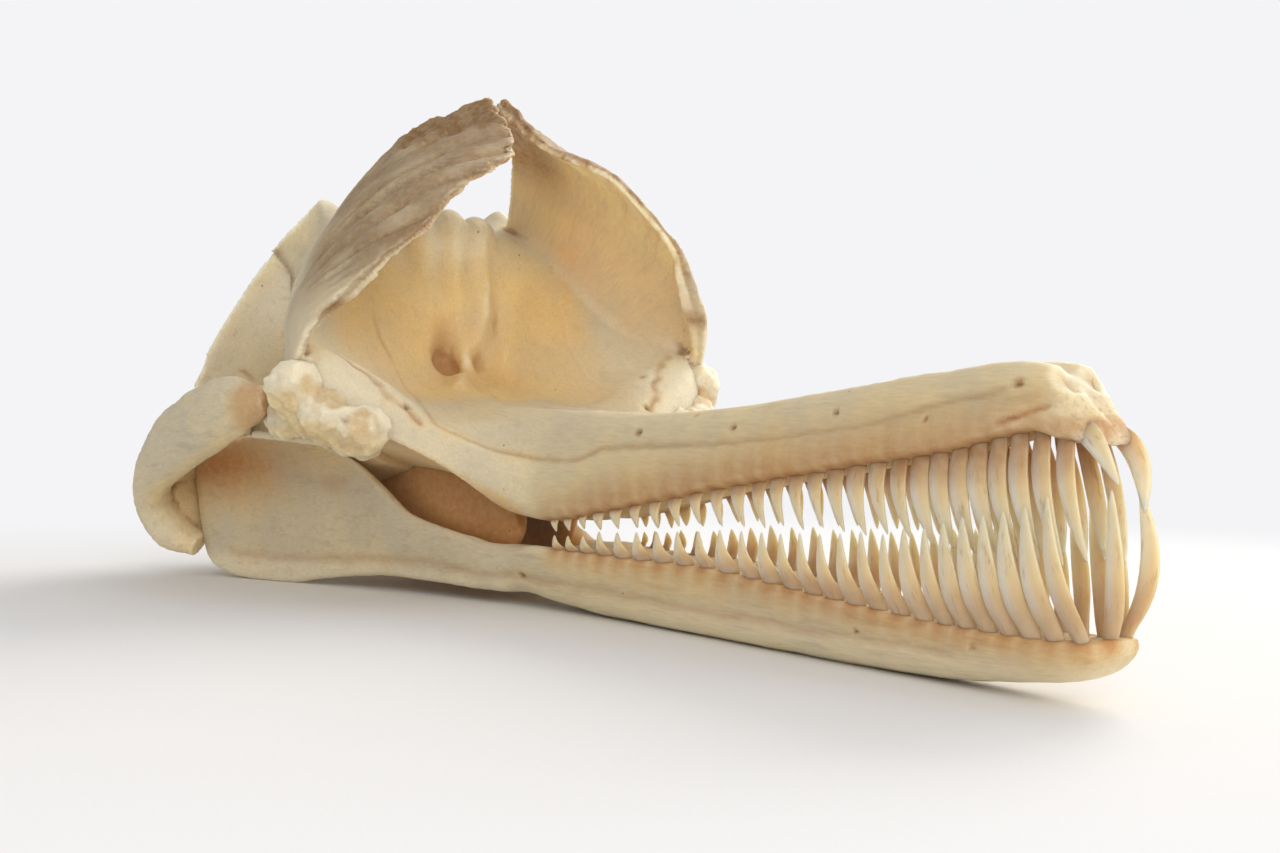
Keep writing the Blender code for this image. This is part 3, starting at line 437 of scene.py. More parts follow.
def modify(piece, kind, **settings):
    """Finish a piece with one modifier."""
    choose(piece)
    bpy.ops.object.modifier_add(type=kind)
    modifier = piece.modifiers[-1]
    for key, value in settings.items():
        setattr(modifier, key, value)
    bpy.ops.object.modifier_apply(modifier=modifier.name)


def ball(x, y, z, *radii):
    """A round form at its size and place."""
    choose()
    bpy.ops.mesh.primitive_ico_sphere_add(subdivisions=4, radius=1, location=(x, y, z), scale=radii)
    bpy.ops.object.transform_apply(location=True, rotation=True, scale=True)
    return bpy.context.object


def take_out(piece, *hollows):
    """Cut round hollows out of a piece."""
    for hollow in hollows:
        cutter = ball(*hollow)
        modify(piece, "BOOLEAN", operation="DIFFERENCE", object=cutter, solver="EXACT")
        bpy.data.objects.remove(cutter)


def joined(name, forms):
    """Several forms as one object."""
    choose(*forms)
    if len(forms) > 1:
        bpy.ops.object.join()
    piece = bpy.context.view_layer.objects.active
    piece.name = name
    return piece


def melt(name, forms, voxel):
    """Closed forms that overlap, joined into one surface with an even net of small faces, as clay."""
    piece = joined(name, forms)
    piece.data.name = name
    modify(piece, "REMESH", mode="VOXEL", voxel_size=voxel * COARSE)
    return Clay(piece)


# Sculpting

def ripple(places, size, seed=0.0):
    """Smooth noise from -1 to 1 at places, its waves about a size apart."""
    waves = places / size + (seed, -seed, 0)
    return np.array([noise.noise(wave) for wave in waves.tolist()])


def blob(places, centre, radii):
    """A soft round patch, 1 at its middle."""
    return np.exp(-(((places - np.array(centre)) / np.array(radii)) ** 2).sum(axis=1))


def step_up(values, low, high):
    """0 below low, 1 above high, smooth between."""
    t = np.clip((values - low) / (high - low), 0, 1)
    return t * t * (3 - 2 * t)


def line_gap(places, line, far=6.0):
    """Distance of places from a smooth line through points, no more than far."""
    spots = curve_at(line, np.linspace(0, 1, 8 * len(line)))
    gaps = np.full(len(places), far)
    low = spots.min(axis=0) - far
    high = spots.max(axis=0) + far
    close = np.where(((places > low) & (places < high)).all(axis=1))[0]
    near = places[close]
    best = gaps[close]
    for a, b in zip(spots, spots[1:]):
        step = b - a
        t = np.clip((near - a) @ step / (step @ step), 0, 1)
        best = np.minimum(best, np.linalg.norm(near - a - t[:, None] * step, axis=1))
    gaps[close] = best
    return gaps


# How far a point moves to the mean of its neighbours: in and back out again, or only in
SMOOTH_IN = 0.55
SMOOTH_OUT = 0.57
SOFTEN_STEP = 0.6
# Rounds that find the hollows and edges about 4 mm wide that hold dirt or wear pale
HOLLOW_ROUNDS = 10


class Clay:
    """The points of a piece in millimetres, pushed in and out and marked for its material."""

    def __init__(self, piece):
        self.piece = piece
        mesh = piece.data
        place = np.empty(len(mesh.vertices) * 3)
        mesh.vertices.foreach_get("co", place)
        self.place = place.reshape(-1, 3)
        ends = np.empty(len(mesh.edges) * 2, dtype=int)
        mesh.edges.foreach_get("vertices", ends)
        self.ends = ends.reshape(-1, 2)
        self.links = np.bincount(ends, minlength=len(self.place))[:, None]
        self.marks = {name: np.zeros(len(self.place)) for name in MARKS}
        self.grain = self.place * (0.12, 1, 1)
        self.root = np.zeros(len(self.place))
        self.sheet = np.zeros(len(self.place))
        self.refresh()

    def refresh(self):
        """Bring the mesh and the normals up to date."""
        mesh = self.piece.data
        mesh.vertices.foreach_set("co", self.place.ravel())
        mesh.update()
        normal = np.empty(len(mesh.vertices) * 3)
        mesh.vertex_normals.foreach_get("vector", normal)
        self.normal = normal.reshape(-1, 3)

    def mean(self, values):
        """The mean of each point's neighbours."""
        a, b = self.ends.T
        columns = [np.bincount(a, column[b], len(self.place)) + np.bincount(b, column[a], len(self.place))
                   for column in values.T]
        return np.stack(columns, axis=1) / self.links

    def smooth(self, rounds):
        """Take the steps out of the net without shrinking the form."""
        for _ in range(rounds):
            for share in (SMOOTH_IN, -SMOOTH_OUT):
                self.place = self.place + share * (self.mean(self.place) - self.place)
        self.refresh()

    def soften(self, weight, rounds):
        """Round a chosen part off, weight 1 where it is softened fully."""
        weight = weight[:, None]
        for _ in range(rounds):
            self.place = self.place + SOFTEN_STEP * weight * (self.mean(self.place) - self.place)
        self.refresh()

    def push(self, amount):
        """Move every point along its normal."""
        self.place = self.place + self.normal * np.asarray(amount)[:, None]

    def mark(self, name, amount):
        """Raise a mark to an amount where it is lower."""
        self.marks[name] = np.maximum(self.marks[name], amount)

    def seam(self, line, depth=0.6, width=0.9, stain_and_shade=0.7, wander=1.0, both=True):
        """A wandering groove along a line of the right side, and its mirror image."""
        for turn in (1, -1) if both else (1,):
            spots = np.array(line) * (1, turn, 1)
            low = spots.min(axis=0) - 8
            high = spots.max(axis=0) + 8
            close = np.where(((self.place > low) & (self.place < high)).all(axis=1))[0]
            if len(close) == 0:
                continue
            near = self.place[close]
            shake = np.stack([ripple(near, 5, seed) for seed in (1.3, 4.1, 7.7)], axis=1) * wander
            gap = line_gap(near + shake, spots)
            self.place[close] -= self.normal[close] * (depth * np.exp(-(gap / width) ** 2))[:, None]
            for name, reach in (("stain_and_shade", 1.2), ("amber", 2.6)):
                tone = stain_and_shade * np.exp(-(gap / (width * reach)) ** 2)
                self.marks[name][close] = np.maximum(self.marks[name][close], tone)

    def hole(self, centre, size, depth=None):
        """A small nutrient hole with a soft stained rim."""
        spot = blob(self.place, centre, (size * 1.5, size, size))
        self.push(-(depth or size * 1.6) * spot)
        self.mark("stain_and_shade", np.clip(spot * 1.3, 0, 1))

    def patches(self, spots):
        """Soft round marks, as (mark, strength, centre, radii)."""
        for name, strength, centre, radii in spots:
            self.mark(name, strength * blob(self.place, centre, radii))

    def holes(self, spots):
        """Nutrient holes of the right side, and their mirror images."""
        for x, y, z, size in spots:
            for side in (1, -1):
                self.hole((x, y * side, z), size)

    def weather(self, low_relief=0.22):
        """Shallow unevenness all over, then stain in the hollows and pale worn edges."""
        self.push(low_relief * ripple(self.place, 13, 2.2) + 0.08 * ripple(self.place, 3.4, 5.1))
        self.refresh()
        mean = self.place
        for _ in range(HOLLOW_ROUNDS):
            mean = self.mean(mean)
        hollow = ((mean - self.place) * self.normal).sum(axis=1)
        self.mark("stain_and_shade", 0.75 * step_up(hollow, 0.16, 0.75))
        self.mark("pale", 0.8 * step_up(-hollow, 0.25, 1.0))

    def done(self, material, *nodes):
        """Bring the piece to metres on the plain solids, write its marks and set it in the frame."""
        low, high = (np.array(corner) for corner in CAD_BOX)
        shift = np.array(SHIFT)
        self.place = np.clip(self.place * MILLIMETRE + shift, low, high)
        self.refresh()
        mesh = self.piece.data
        for name, values in self.marks.items():
            layer = mesh.attributes.new(name, "FLOAT", "POINT")
            layer.data.foreach_set("value", np.clip(values, 0, 1))
        layer = mesh.attributes.new("grain", "FLOAT_VECTOR", "POINT")
        layer.data.foreach_set("vector", (self.grain * MILLIMETRE).ravel())
        mesh.materials.clear()
        mesh.materials.append(material)
        mesh.shade_smooth()
        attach(self.piece, "root")
        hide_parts(*nodes)


def tooth_row(gum_line, facing, setting):
    """Root, tip, width and side of every tooth of one jaw, facing 1 for teeth that point up."""
    inset, spread, half_step, number = setting
    draw = random.Random(TOOTH_SEED + facing)
    places = [FIRST_TOOTH]
    for i in range(number - 1):
        places.append(places[-1] + float(along(TOOTH_PITCH, i)[0, 0]))
    row = []
    for side in (RIGHT, LEFT):
        for i, place in enumerate(places):
            pitch = float(along(TOOTH_PITCH, i)[0, 0])
            centre = place + half_step * pitch
            top = along(WING_TIP, centre)[0, 1]
            low = along(GUM, centre)[0, 1]
            length = float(along(TOOTH_REACH, centre)[0, 0]) * (top - low)
            length += draw.uniform(-1, 1) * TOOTH_SCATTER
            root_x = centre + facing * TOOTH_LEAN * (top - low) / 2
            half_width, height = along(gum_line, min(root_x, gum_line[-1][0] - TIP_MARGIN))[0]
            out = half_width - inset
            root = Vector((root_x, side * out, height))
            tip = Vector((root_x - facing * TOOTH_LEAN * length, side * (out + spread * length),
                          height + facing * length))
            width = float(along(TOOTH_WIDTH, centre)[0, 0]) * (1 + draw.uniform(-1, 1) * TOOTH_VARIATION)
            row.append((root, tip, min(width, pitch * TOOTH_CROWDING), side))
    return row


def carve_sockets(clay, row, spread):
    """Brown stain and painted shade between the teeth, and a slight dip at every socket."""
    for root, tip, width, side in row:
        close = np.where(np.abs(clay.place[:, 0] - root.x) < 10)[0]
        offset = (clay.place[close] - np.array(root)) / (width, width * 0.7, width)
        reach = np.linalg.norm(offset, axis=1)
        clay.place[close] -= clay.normal[close] * (0.3 * np.exp(-(reach / 0.8) ** 2))[:, None]
        for name, strength, size in (("stain_and_shade", 0.95, spread), ("amber", 0.85, 2 * spread)):
            tone = strength * np.exp(-(reach / size) ** 2)
            clay.marks[name][close] = np.maximum(clay.marks[name][close], tone)


def carve_crests(clay):
    """Grooves that fan over the crests, worn porous tops and thin ragged rims."""
    for side in (RIGHT, LEFT):
        rows, columns = CREST_FINDER
        face, normal, thick = crest_net(side, rows, columns)
        outward = np.gradient(face, axis=1)
        outward /= np.linalg.norm(outward, axis=2, keepdims=True)
        flat_face = (face - normal * thick[:, :, None] / 2).reshape(-1, 3)
        tree = kdtree.KDTree(len(flat_face))
        for i, spot in enumerate(flat_face.tolist()):
            tree.insert(spot, i)
        tree.balance()
        near = np.where((clay.place[:, 0] > 76) & (clay.place[:, 2] > 58) & (clay.place[:, 1] * side > 4))[0]
        found = [tree.find(spot) for spot in clay.place[near].tolist()]
        index = np.array([hit[1] for hit in found])
        gap = np.array([hit[2] for hit in found])
        s = index // (columns + 1) / rows
        t = index % (columns + 1) / columns
        sheet = thick.reshape(-1)[index]
        offset = ((clay.place[near] - flat_face[index]) * normal.reshape(-1, 3)[index]).sum(axis=1)
        weight = 1 - step_up(gap, sheet / 2 + 1.0, sheet / 2 + 3.5)
        outer = step_up(offset, -0.4, 0.4)
        # Grain that runs from the root to the free edge, leaning up on the outer face
        lean = s - 0.42 * t * outer
        flow = np.stack((t * (8 - 4.5 * outer) + 4 * (1 - outer), lean * CREST_LENGTH,
                         np.full(len(near), 30.0 * side)), axis=1)
        flow[:, 1] += 1.6 * ripple(clay.place[near], 14, 3.3)
        keep = (weight > 0.5) & (t > 0.03)
        clay.grain[near[keep]] = flow[keep]
        ridge = np.abs(ripple(flow, 8, 9.1))
        fine = np.abs(ripple(flow * (1, 1.8, 1), 4.2, 2.7))
        middle = step_up(t, 0.04, 0.3)
        high = step_up(s, 0.08, 0.42)
        top = step_up(s, 0.74, 0.9) * step_up(t, 0.25, 0.6)
        uneven = step_up(ripple(clay.place[near], 13, 5.7), -0.25, 0.3)
        broad = np.exp(-(ridge / 0.19) ** 2) * (0.25 + 0.75 * uneven)
        narrow = np.exp(-(fine / 0.12) ** 2)
        outside = outer * middle * (0.12 + 0.88 * high)
        inside = (1 - outer) * step_up(t, 0.2, 0.6) * 0.55
        push = -weight * (outside * (1.9 * broad + 0.15 * narrow) + inside * (0.55 * broad + 0.5 * narrow))
        push += weight * outer * high * 0.7 * ripple(flow * (0.7, 1, 1), 9, 6.6)
        rough = ripple(clay.place[near], 2.6, 8.8) + 0.8 * ripple(clay.place[near], 5.5, 0.8)
        rim = step_up(t, 0.94, 1.0)
        push += weight * np.maximum(top, rim * 0.3) * 0.6 * rough
        ragged = (0.8 + 2.0 * step_up(s, 0.5, 0.75)) * ripple(clay.place[near], 3.6, 1.9)
        ragged = ragged + 0.5 * ripple(clay.place[near], 1.6, 4.9) + 1.8 * step_up(s, 0.6, 0.8)
        edge_push = weight * step_up(t, 0.86, 1.0) * np.clip(ragged, -1.6, 2.6)
        if side == RIGHT:
            # The free edge of the right crest is shorter than that of the left one
            edge_push -= weight * step_up(t, 0.3, 1.0) * along(SHORT_EDGE, s)[:, 0]
        moved = clay.place[near] + clay.normal[near] * push[:, None]
        moved = moved + outward.reshape(-1, 3)[index] * edge_push[:, None]
        # The two tops reach for each other over the vault
        moved[:, 1] -= side * weight * step_up(s, 0.62, 0.85) * step_up(t, 0.6, 1.0) * 2.6
        moved[:, 2] = np.minimum(moved[:, 2], HIGHEST)
        clay.place[near] = moved
        blotch = 0.5 + 0.5 * ripple(clay.place[near], 6, 3.9)
        vessel = np.clip(broad * 0.6 + narrow * 0.5, 0, 1)
        dark_rim = rim * (step_up(s, 0.25, 0.5) if side == RIGHT else step_up(s, 0.6, 0.8)) * blotch
        rust = np.exp(-((s - 0.16) / 0.05) ** 2) * step_up(t, 0.9, 1) * blotch
        worn = top * (0.8 + 0.5 * blotch) * (1 - 0.4 * (1 - outer))
        # Painted shade on the outer faces, over dirt in the broad grooves
        outer_shade_and_dirt = outside * (0.7 + 0.2 * (blotch - uneven) + 0.25 * broad)
        veined = vessel * inside * 0.7 * step_up(t, 0.5, 0.9)
        # Painted light on the lower part of the inner faces, and a painted highlight along their free rim
        bleached_and_lit = (1 - step_up(s, 0.6, 0.85)) * (0.42 + 0.45 * step_up(t, 0.93, 1.0) * blotch)
        marks = {
            "stain_and_shade": np.maximum.reduce([worn, outer_shade_and_dirt, veined, dark_rim, rust * 1.3]),
            # Painted warm glow on the inner faces
            "amber": (1 - outer) * (0.22 + 0.25 * blotch),
            "pale": (1 - outer) * bleached_and_lit,
            "pore": np.maximum(top * 0.5, dark_rim) * blotch,
        }
        for name, values in marks.items():
            clay.marks[name][near] = np.maximum(clay.marks[name][near], weight * values)
        # The inner face flows into the bowl without a crease
        root = np.zeros(len(clay.place))
        root[near] = np.where(gap < 22, 1 - step_up(t, 0.15, 0.4), 0) * (1 - outer) * step_up(s, 0.0, 0.15)
        root[near] *= 1 - step_up(s, 0.8, 0.95)
        clay.root = np.maximum(clay.root, root)
        clay.sheet[near] = np.maximum(clay.sheet[near], weight * step_up(t, 0.1, 0.3))
    clay.refresh()


def carve_face(clay):
    """Seams, nostrils, shield and holes of the face and upper jaw."""
    x, y, z = clay.place.T
    side = np.abs(y)
    # The rear rim of the face laps over the braincase as a ragged seam
    rear = 1 - step_up(x, 58, 64)
    clay.place[:, 0] += rear * 1.5 * ripple(clay.place, 7, 2.6)
    clay.mark("stain_and_shade", 0.7 * np.exp(-((x - 57.5) / 1.2) ** 2))
    bowl = step_up(x, 92, 100) * (1 - step_up(x, 130, 146)) * (1 - step_up(side, 40, 50)) * step_up(z, 54, 60)
    bowl *= (1 - step_up(z, 104, 114)) * (1 - clay.sheet)
    fold = np.clip(clay.root + bowl * (1 - blob(clay.place, (112, 0, 72), (9, 14, 12))), 0, 1)
    clay.soften(fold, 90)
    clay.push(2.6 * blob(clay.place, (102, 0, 92), (10, 12, 14)))
    for y_fold, size in VERTEX_FOLDS:
        clay.push(size * blob(clay.place, (99, y_fold, 107), (12, 3.2, 12)))
    for turn in (1, -1):
        clay.push((-4 + 2 * turn) * blob(clay.place, (107, 5.5 * turn, 71), (7, 4.5, 6)))
    clay.refresh()
    # Painted warm glow through the thin bone of the bowl, with a faint brown
    clay.mark("amber", 0.9 * bowl)
    clay.mark("stain_and_shade", 0.14 * bowl)
    clay.patches(BOWL_PATCHES)
    clay.seam(LONG_SEAM[:7], depth=0.4, width=0.8, stain_and_shade=0.4, wander=0.5, both=False)
    clay.seam(LONG_SEAM[6:], depth=0.4, width=0.8, stain_and_shade=0.4, wander=0.5)
    clay.seam(SHIELD_EDGE, depth=1.4, width=2.6, stain_and_shade=0.22, wander=0.8, both=False)
    clay.seam(SHIELD_RIDGE, depth=-2.0, width=3.2, stain_and_shade=0, wander=0.6, both=False)
    clay.seam(SHIELD_GROOVE, depth=1.2, width=3.2, stain_and_shade=0.12, wander=0.6, both=False)
    clay.seam(BOWL_FOLD, depth=1.6, width=5.0, stain_and_shade=0.15, wander=0.8, both=False)
    clay.seam(NOSTRIL_GROOVE, depth=1.0, width=3.0, stain_and_shade=0.15, wander=0.5)
    for slit in SLITS:
        clay.seam(slit, depth=1.6, width=0.9, stain_and_shade=0.9, wander=0.4, both=False)
    clay.patches(NARES_PATCHES)
    clay.seam(BROW_SEAM, depth=0.6, width=1.0, stain_and_shade=0.6, wander=1.6)
    clay.holes(SIDE_HOLES)
    # Snout tip: the pit with its raised rim, a slot behind it and porous bone in front
    x, y, z = clay.place.T
    clay.place[:, 0] -= 0.32 * np.clip(x - 362, 0, None) * step_up(z, 54, 61)
    clay.place[:, 2] -= 2.4 * step_up(x, 358, 368) * (1 - step_up(z, 53, 60))
    x, y, z = clay.place.T
    side = np.abs(y)
    for turn in (1, -1):
        pit = np.array(SNOUT_PIT) * (1, turn, 1)
        reach = np.sqrt((((clay.place - pit) / (5.4, 3.4, 3.0)) ** 2).sum(axis=1))
        clay.push(-3.6 * np.exp(-(reach / 0.75) ** 2) + 0.5 * np.exp(-((reach - 1.15) / 0.3) ** 2))
        clay.mark("pale", 0.5 * np.exp(-((reach - 1.1) / 0.3) ** 2))
        clay.mark("amber", np.exp(-(reach / 0.9) ** 2))
        clay.mark("stain_and_shade", 0.5 * np.exp(-(reach / 0.7) ** 2))
    clay.seam(SNOUT_SLOT, depth=0.8, width=0.7, stain_and_shade=0.85, wander=0.4)
    tip = step_up(x, 364, 369)
    clay.push(tip * 0.55 * ripple(clay.place, 2.8, 5.5))
    clay.mark("pore", tip * 0.2)
    clay.mark("pale", tip * 0.25)
    clay.mark("amber", tip * 0.5)
    # Low long grooves on the sides of the snout
    snout = step_up(x, 165, 190) * (1 - step_up(x, 355, 366))
    long_grain = ripple(clay.place * (0.06, 1, 1), 2.6, 7.2)
    clay.push(-0.1 * snout * np.exp(-(long_grain / 0.15) ** 2))
    # Warm shade under the orbit and on the palate
    hollow = (1 - step_up(z, 44, 52)) * (1 - step_up(x, 168, 185)) * (1 - step_up(side, 44, 52))
    hollow *= 1 - step_up(clay.normal[:, 2], -0.35, 0.0)
    clay.mark("amber", 0.95 * hollow)
    clay.mark("stain_and_shade", 0.35 * hollow)
    under = (1 - step_up(clay.normal[:, 2], -0.6, -0.2)) * step_up(x, 160, 180)
    clay.mark("amber", 0.6 * under)
    # Painted warm shade on the temples under the crest roots
    temple_shade = (1 - step_up(z, 70, 100)) * (1 - step_up(x, 104, 112)) * (1 - step_up(side, 50, 56))
    clay.mark("amber", 0.75 * temple_shade)
    clay.mark("stain_and_shade", 0.2 * temple_shade)


def make_upper_jaw(settings):
    """The face, the snout and both crests as one surface."""
    face = skinned("face", sections(BRAINCASE_LINES, np.concatenate((np.arange(57, 111, 2.0), (111.7,)))))
    jaw = skinned("jaw", sections(UPPER_LINES, np.concatenate((np.arange(109, 375, 1.6), (375,)))))
    take_out(face, *NOSTRILS)
    take_out(jaw, *NOSTRILS)
    lumps = [ball(*lump) for lump in CROWN_LUMPS]
    forms = [jaw, face, crest_form(RIGHT), crest_form(LEFT), ball(*CROWN_FILL), *lumps]
    clay = melt("upper_jaw_and_crests", forms, settings.net)
    clay.smooth(3)
    carve_crests(clay)
    carve_face(clay)
    clay.refresh()
    carve_sockets(clay, tooth_row(WING_TIP, -1, UPPER_TOOTH), 1.2)
    # The snout tip stays paler than the tooth row
    x, y, z = clay.place.T
    tip = step_up(x, 361, 367) * step_up(z, 54.5, 57) * (1 - step_up(z, 61, 63))
    clay.marks["stain_and_shade"] *= 1 - 0.8 * tip
    clay.marks["amber"] *= 1 - 0.4 * tip
    clay.refresh()
    clay.weather(settings.relief)
    clay.marks["stain_and_shade"] *= 1 - step_up(blob(clay.place, (99, 0, 99), (13, 24, 15)), 0.1, 0.5)
    # The grey-brown of dirt, and of the painted shade on the outer faces of the crests
    material = bone("dry_bone_face", settings, streaks=0.22, glow=0.007, stain_and_shade_colour="#84633C")
    clay.done(material, "rostrum", "crest_right", "crest_left")


def make_braincase(settings):
    """The braincase with the condyles, which reaches a little way into the face."""
    case = skinned("case", sections(BRAINCASE_LINES, np.arange(3, 77, 2.0)))
    knobs = [ball(*knob) for knob in (CONDYLE_BRIDGE, *CONDYLES)]
    take_out(case, SPINAL_OPENING)
    clay = melt("braincase_and_condyles", [case, *knobs], settings.net * 1.1)
    clay.smooth(3)
    x, y, z = clay.place.T
    clay.push(-1.0 * step_up(x, 53, 58))
    clay.seam(TEMPLE_SEAM, depth=0.6, width=1.0, stain_and_shade=0.55, wander=2.2)
    clay.seam(SKULL_CRACK, depth=1.6, width=0.8, stain_and_shade=0.9, wander=0.8)
    clay.seam(VAULT_LINE, depth=-0.8, width=2.0, stain_and_shade=0, wander=0.8, both=False)
    rear = 1 - step_up(x, 6, 14)
    clay.push(0.4 * rear * ripple(clay.place, 4.5, 4.4))
    muscle = (1 - step_up(x, 30, 50)) * (1 - blob(clay.place, (3, 0, 45), (9, 22, 16)))
    clay.push(-0.35 * muscle * np.exp(-(ripple(clay.place * (1, 1, 0.3), 5, 3.7) / 0.12) ** 2))
    clay.mark("stain_and_shade", 0.8 * blob(clay.place, (4, 0, 55), (8, 8, 8)))
    side = np.abs(y)
    # Painted warm shade on the temples and the base, and painted light on the upper vault
    temple_shade = step_up(x, 32, 50) * (1 - step_up(z, 66, 90)) * (1 - step_up(side, 50, 58))
    clay.mark("amber", 0.55 * temple_shade)
    clay.mark("amber", 0.5 * (1 - step_up(z, 30, 44)))
    clay.mark("pale", 0.5 * (1 - temple_shade) * step_up(z, 50, 80))
    clay.refresh()
    clay.weather(settings.relief * 1.3)
    clay.done(bone("dry_bone_braincase", settings, streaks=0.35), "braincase", "occipital_condyles")


def make_arches(settings):
    """Each arch with its root on the braincase and the plate behind the jaw joint."""
    for side, label in SIDES:
        bar = skinned("bar", tube(sided(ARCH, side), 60, 28))
        rings = []
        for x, y, z, half_height, half_length in curve_at(ARCH_ROOT, np.linspace(0, 1, 12)):
            angles = np.linspace(0, 2 * math.pi, 28, endpoint=False)
            rings.append(np.stack((x + np.cos(angles) * half_length, np.full(28, y * side),
                                   z + np.sin(angles) * half_height), axis=1))
        forms = [bar, skinned("root", np.array(rings)), ball(*sided([JOINT_PLATE], side)[0])]
        clay = melt("cheek_arch_" + label, forms, settings.net * 0.9)
        clay.smooth(4)
        clay.grain = clay.place * (0.15, 1, 1)
        clay.seam(ARCH_SEAM, depth=0.7, width=0.9, stain_and_shade=0.8, wander=1.2)
        x, y, z = clay.place.T
        clay.push(-0.25 * np.exp(-(ripple(clay.place * (0.1, 1, 1), 3.2, 6.2) / 0.12) ** 2))
        # Painted warm shade in the bend of the hook, on the undersides and on the inner side of the arch
        clay.mark("amber", 0.9 * blob(clay.place, (36, 60 * side, 32), (12, 13, 16)))
        clay.mark("stain_and_shade", 0.35 * blob(clay.place, (38, 60 * side, 30), (9, 10, 13)))
        clay.mark("amber", 0.7 * (1 - step_up(clay.normal[:, 2], -0.9, -0.5)))
        clay.mark("amber", 0.7 * (1 - step_up(y * side, 66, 71)))
        end = step_up(x, 108, 116)
        clay.push(end * 0.7 * ripple(clay.place, 4, 2.1))
        clay.mark("amber", 0.7 * end)
        clay.mark("stain_and_shade", 0.5 * end)
        clay.mark("pale", 0.5 * blob(clay.place, (36, 70 * side, 14), (10, 12, 8)))
        clay.refresh()
        clay.weather(settings.relief * 1.5)
        clay.done(bone("dry_bone_arch_" + label, settings, streaks=0.35), "arch_" + label)


def make_brows(settings):
    """Each brow as a heap of lumps with puffed knobs and dirt between them."""
    for side, label in SIDES:
        setback = LEFT_BROW_SETBACK if side == LEFT else 0
        knobs = [ball(x - setback, y * side, z, *radii) for x, y, z, *radii in BROW_KNOBS]
        clay = melt("brow_" + label, knobs, settings.net * 0.7)
        clay.smooth(4)
        clay.soften(np.ones(len(clay.place)), 30)
        puffs = ripple(clay.place, 9, 3.1)
        clay.push(2.0 * puffs + 1.0)
        clay.refresh()
        small = ripple(clay.place, 4.2, 1.4)
        clay.push(1.2 * small + 0.6 * ripple(clay.place, 2, 6.3))
        gap = 1 - step_up(puffs + 0.4 * small, -0.35, 0.0)
        clay.mark("stain_and_shade", 0.18 * gap)
        # Painted light on the tops of the knobs and painted warm shade under them and in the gaps
        clay.mark("pale", 0.6 * (1 - gap) * step_up(clay.normal[:, 2], -0.5, 0.4))
        clay.mark("amber", np.maximum(0.5 * gap, 0.6 * (1 - step_up(clay.normal[:, 2], -0.6, 0.1))))
        clay.refresh()
        clay.weather(settings.relief)
        clay.done(bone("dry_bone_brow_" + label, settings, streaks=0.2), "brow_" + label)


def make_cheek_bars(settings):
    """Each bar as a thin uneven rod."""
    for side, label in SIDES:
        points = [(*point, BAR_RADIUS, BAR_RADIUS) for point in (BAR_FRONT, BAR_REAR)]
        clay = melt("cheek_bar_" + label, [skinned("bar", tube(sided(points, side), 20, 16))], 0.4)
        clay.smooth(3)
        clay.push(0.25 * ripple(clay.place, 6, 2.9) + 0.15 * ripple(clay.place, 2.5, 7.9) - 0.1)
        clay.refresh()
        clay.weather(0.08)
        clay.done(bone("dry_bone_bar_" + label, settings, streaks=0.3), "cheek_bar_" + label)


def make_palate_wings(settings):
    """Each wing as a wall behind the palate, painted all over in warm shade."""
    for side, label in SIDES:
        wing = skinned("wing", tube(sided(PALATE_WING, side), 40, 28))
        clay = melt("palate_wing_" + label, [wing], settings.net * 0.8)
        clay.smooth(4)
        clay.push(0.4 * ripple(clay.place, 7, 1.1) - 0.15)
        # Painted warm shade all over the wing, in the orange-brown given below
        clay.mark("amber", np.full(len(clay.place), 0.95))
        clay.mark("stain_and_shade", np.full(len(clay.place), 0.75))
        clay.refresh()
        clay.weather(settings.relief)
        material = bone("painted_shade_wing_" + label, settings, streaks=0.3, stain_and_shade_colour="#BC7438")
        clay.done(material, "palate_wing_" + label)


def branch_rings(side):
    """Rings of one branch of the lower jaw."""
    rings = []
    for x in np.linspace(BRANCH[0][0], BRANCH[-1][0] + 3, 110):
        outer, top, bottom, thickness = along(BRANCH, x)[0]
        lean = BRANCH_LEAN * (top - bottom)
        inner = outer - thickness
        middle = (top + bottom) / 2
        outline = rounded(np.array((
            (outer + lean - thickness * 0.3, top), (outer + lean * 0.8, top - 2),
            (outer + lean * 0.3 + BRANCH_BOW, middle), (outer, bottom + 4), (outer - 1.2, bottom),
            (inner, bottom), (inner, bottom + 4), (inner + lean * 0.3 + BRANCH_BOW, middle),
            (inner + lean * 0.8, top - 2))), 4)
        rings.append(np.column_stack((np.full(len(outline), x), outline[:, 0] * side, outline[:, 1])))
    return np.array(rings)


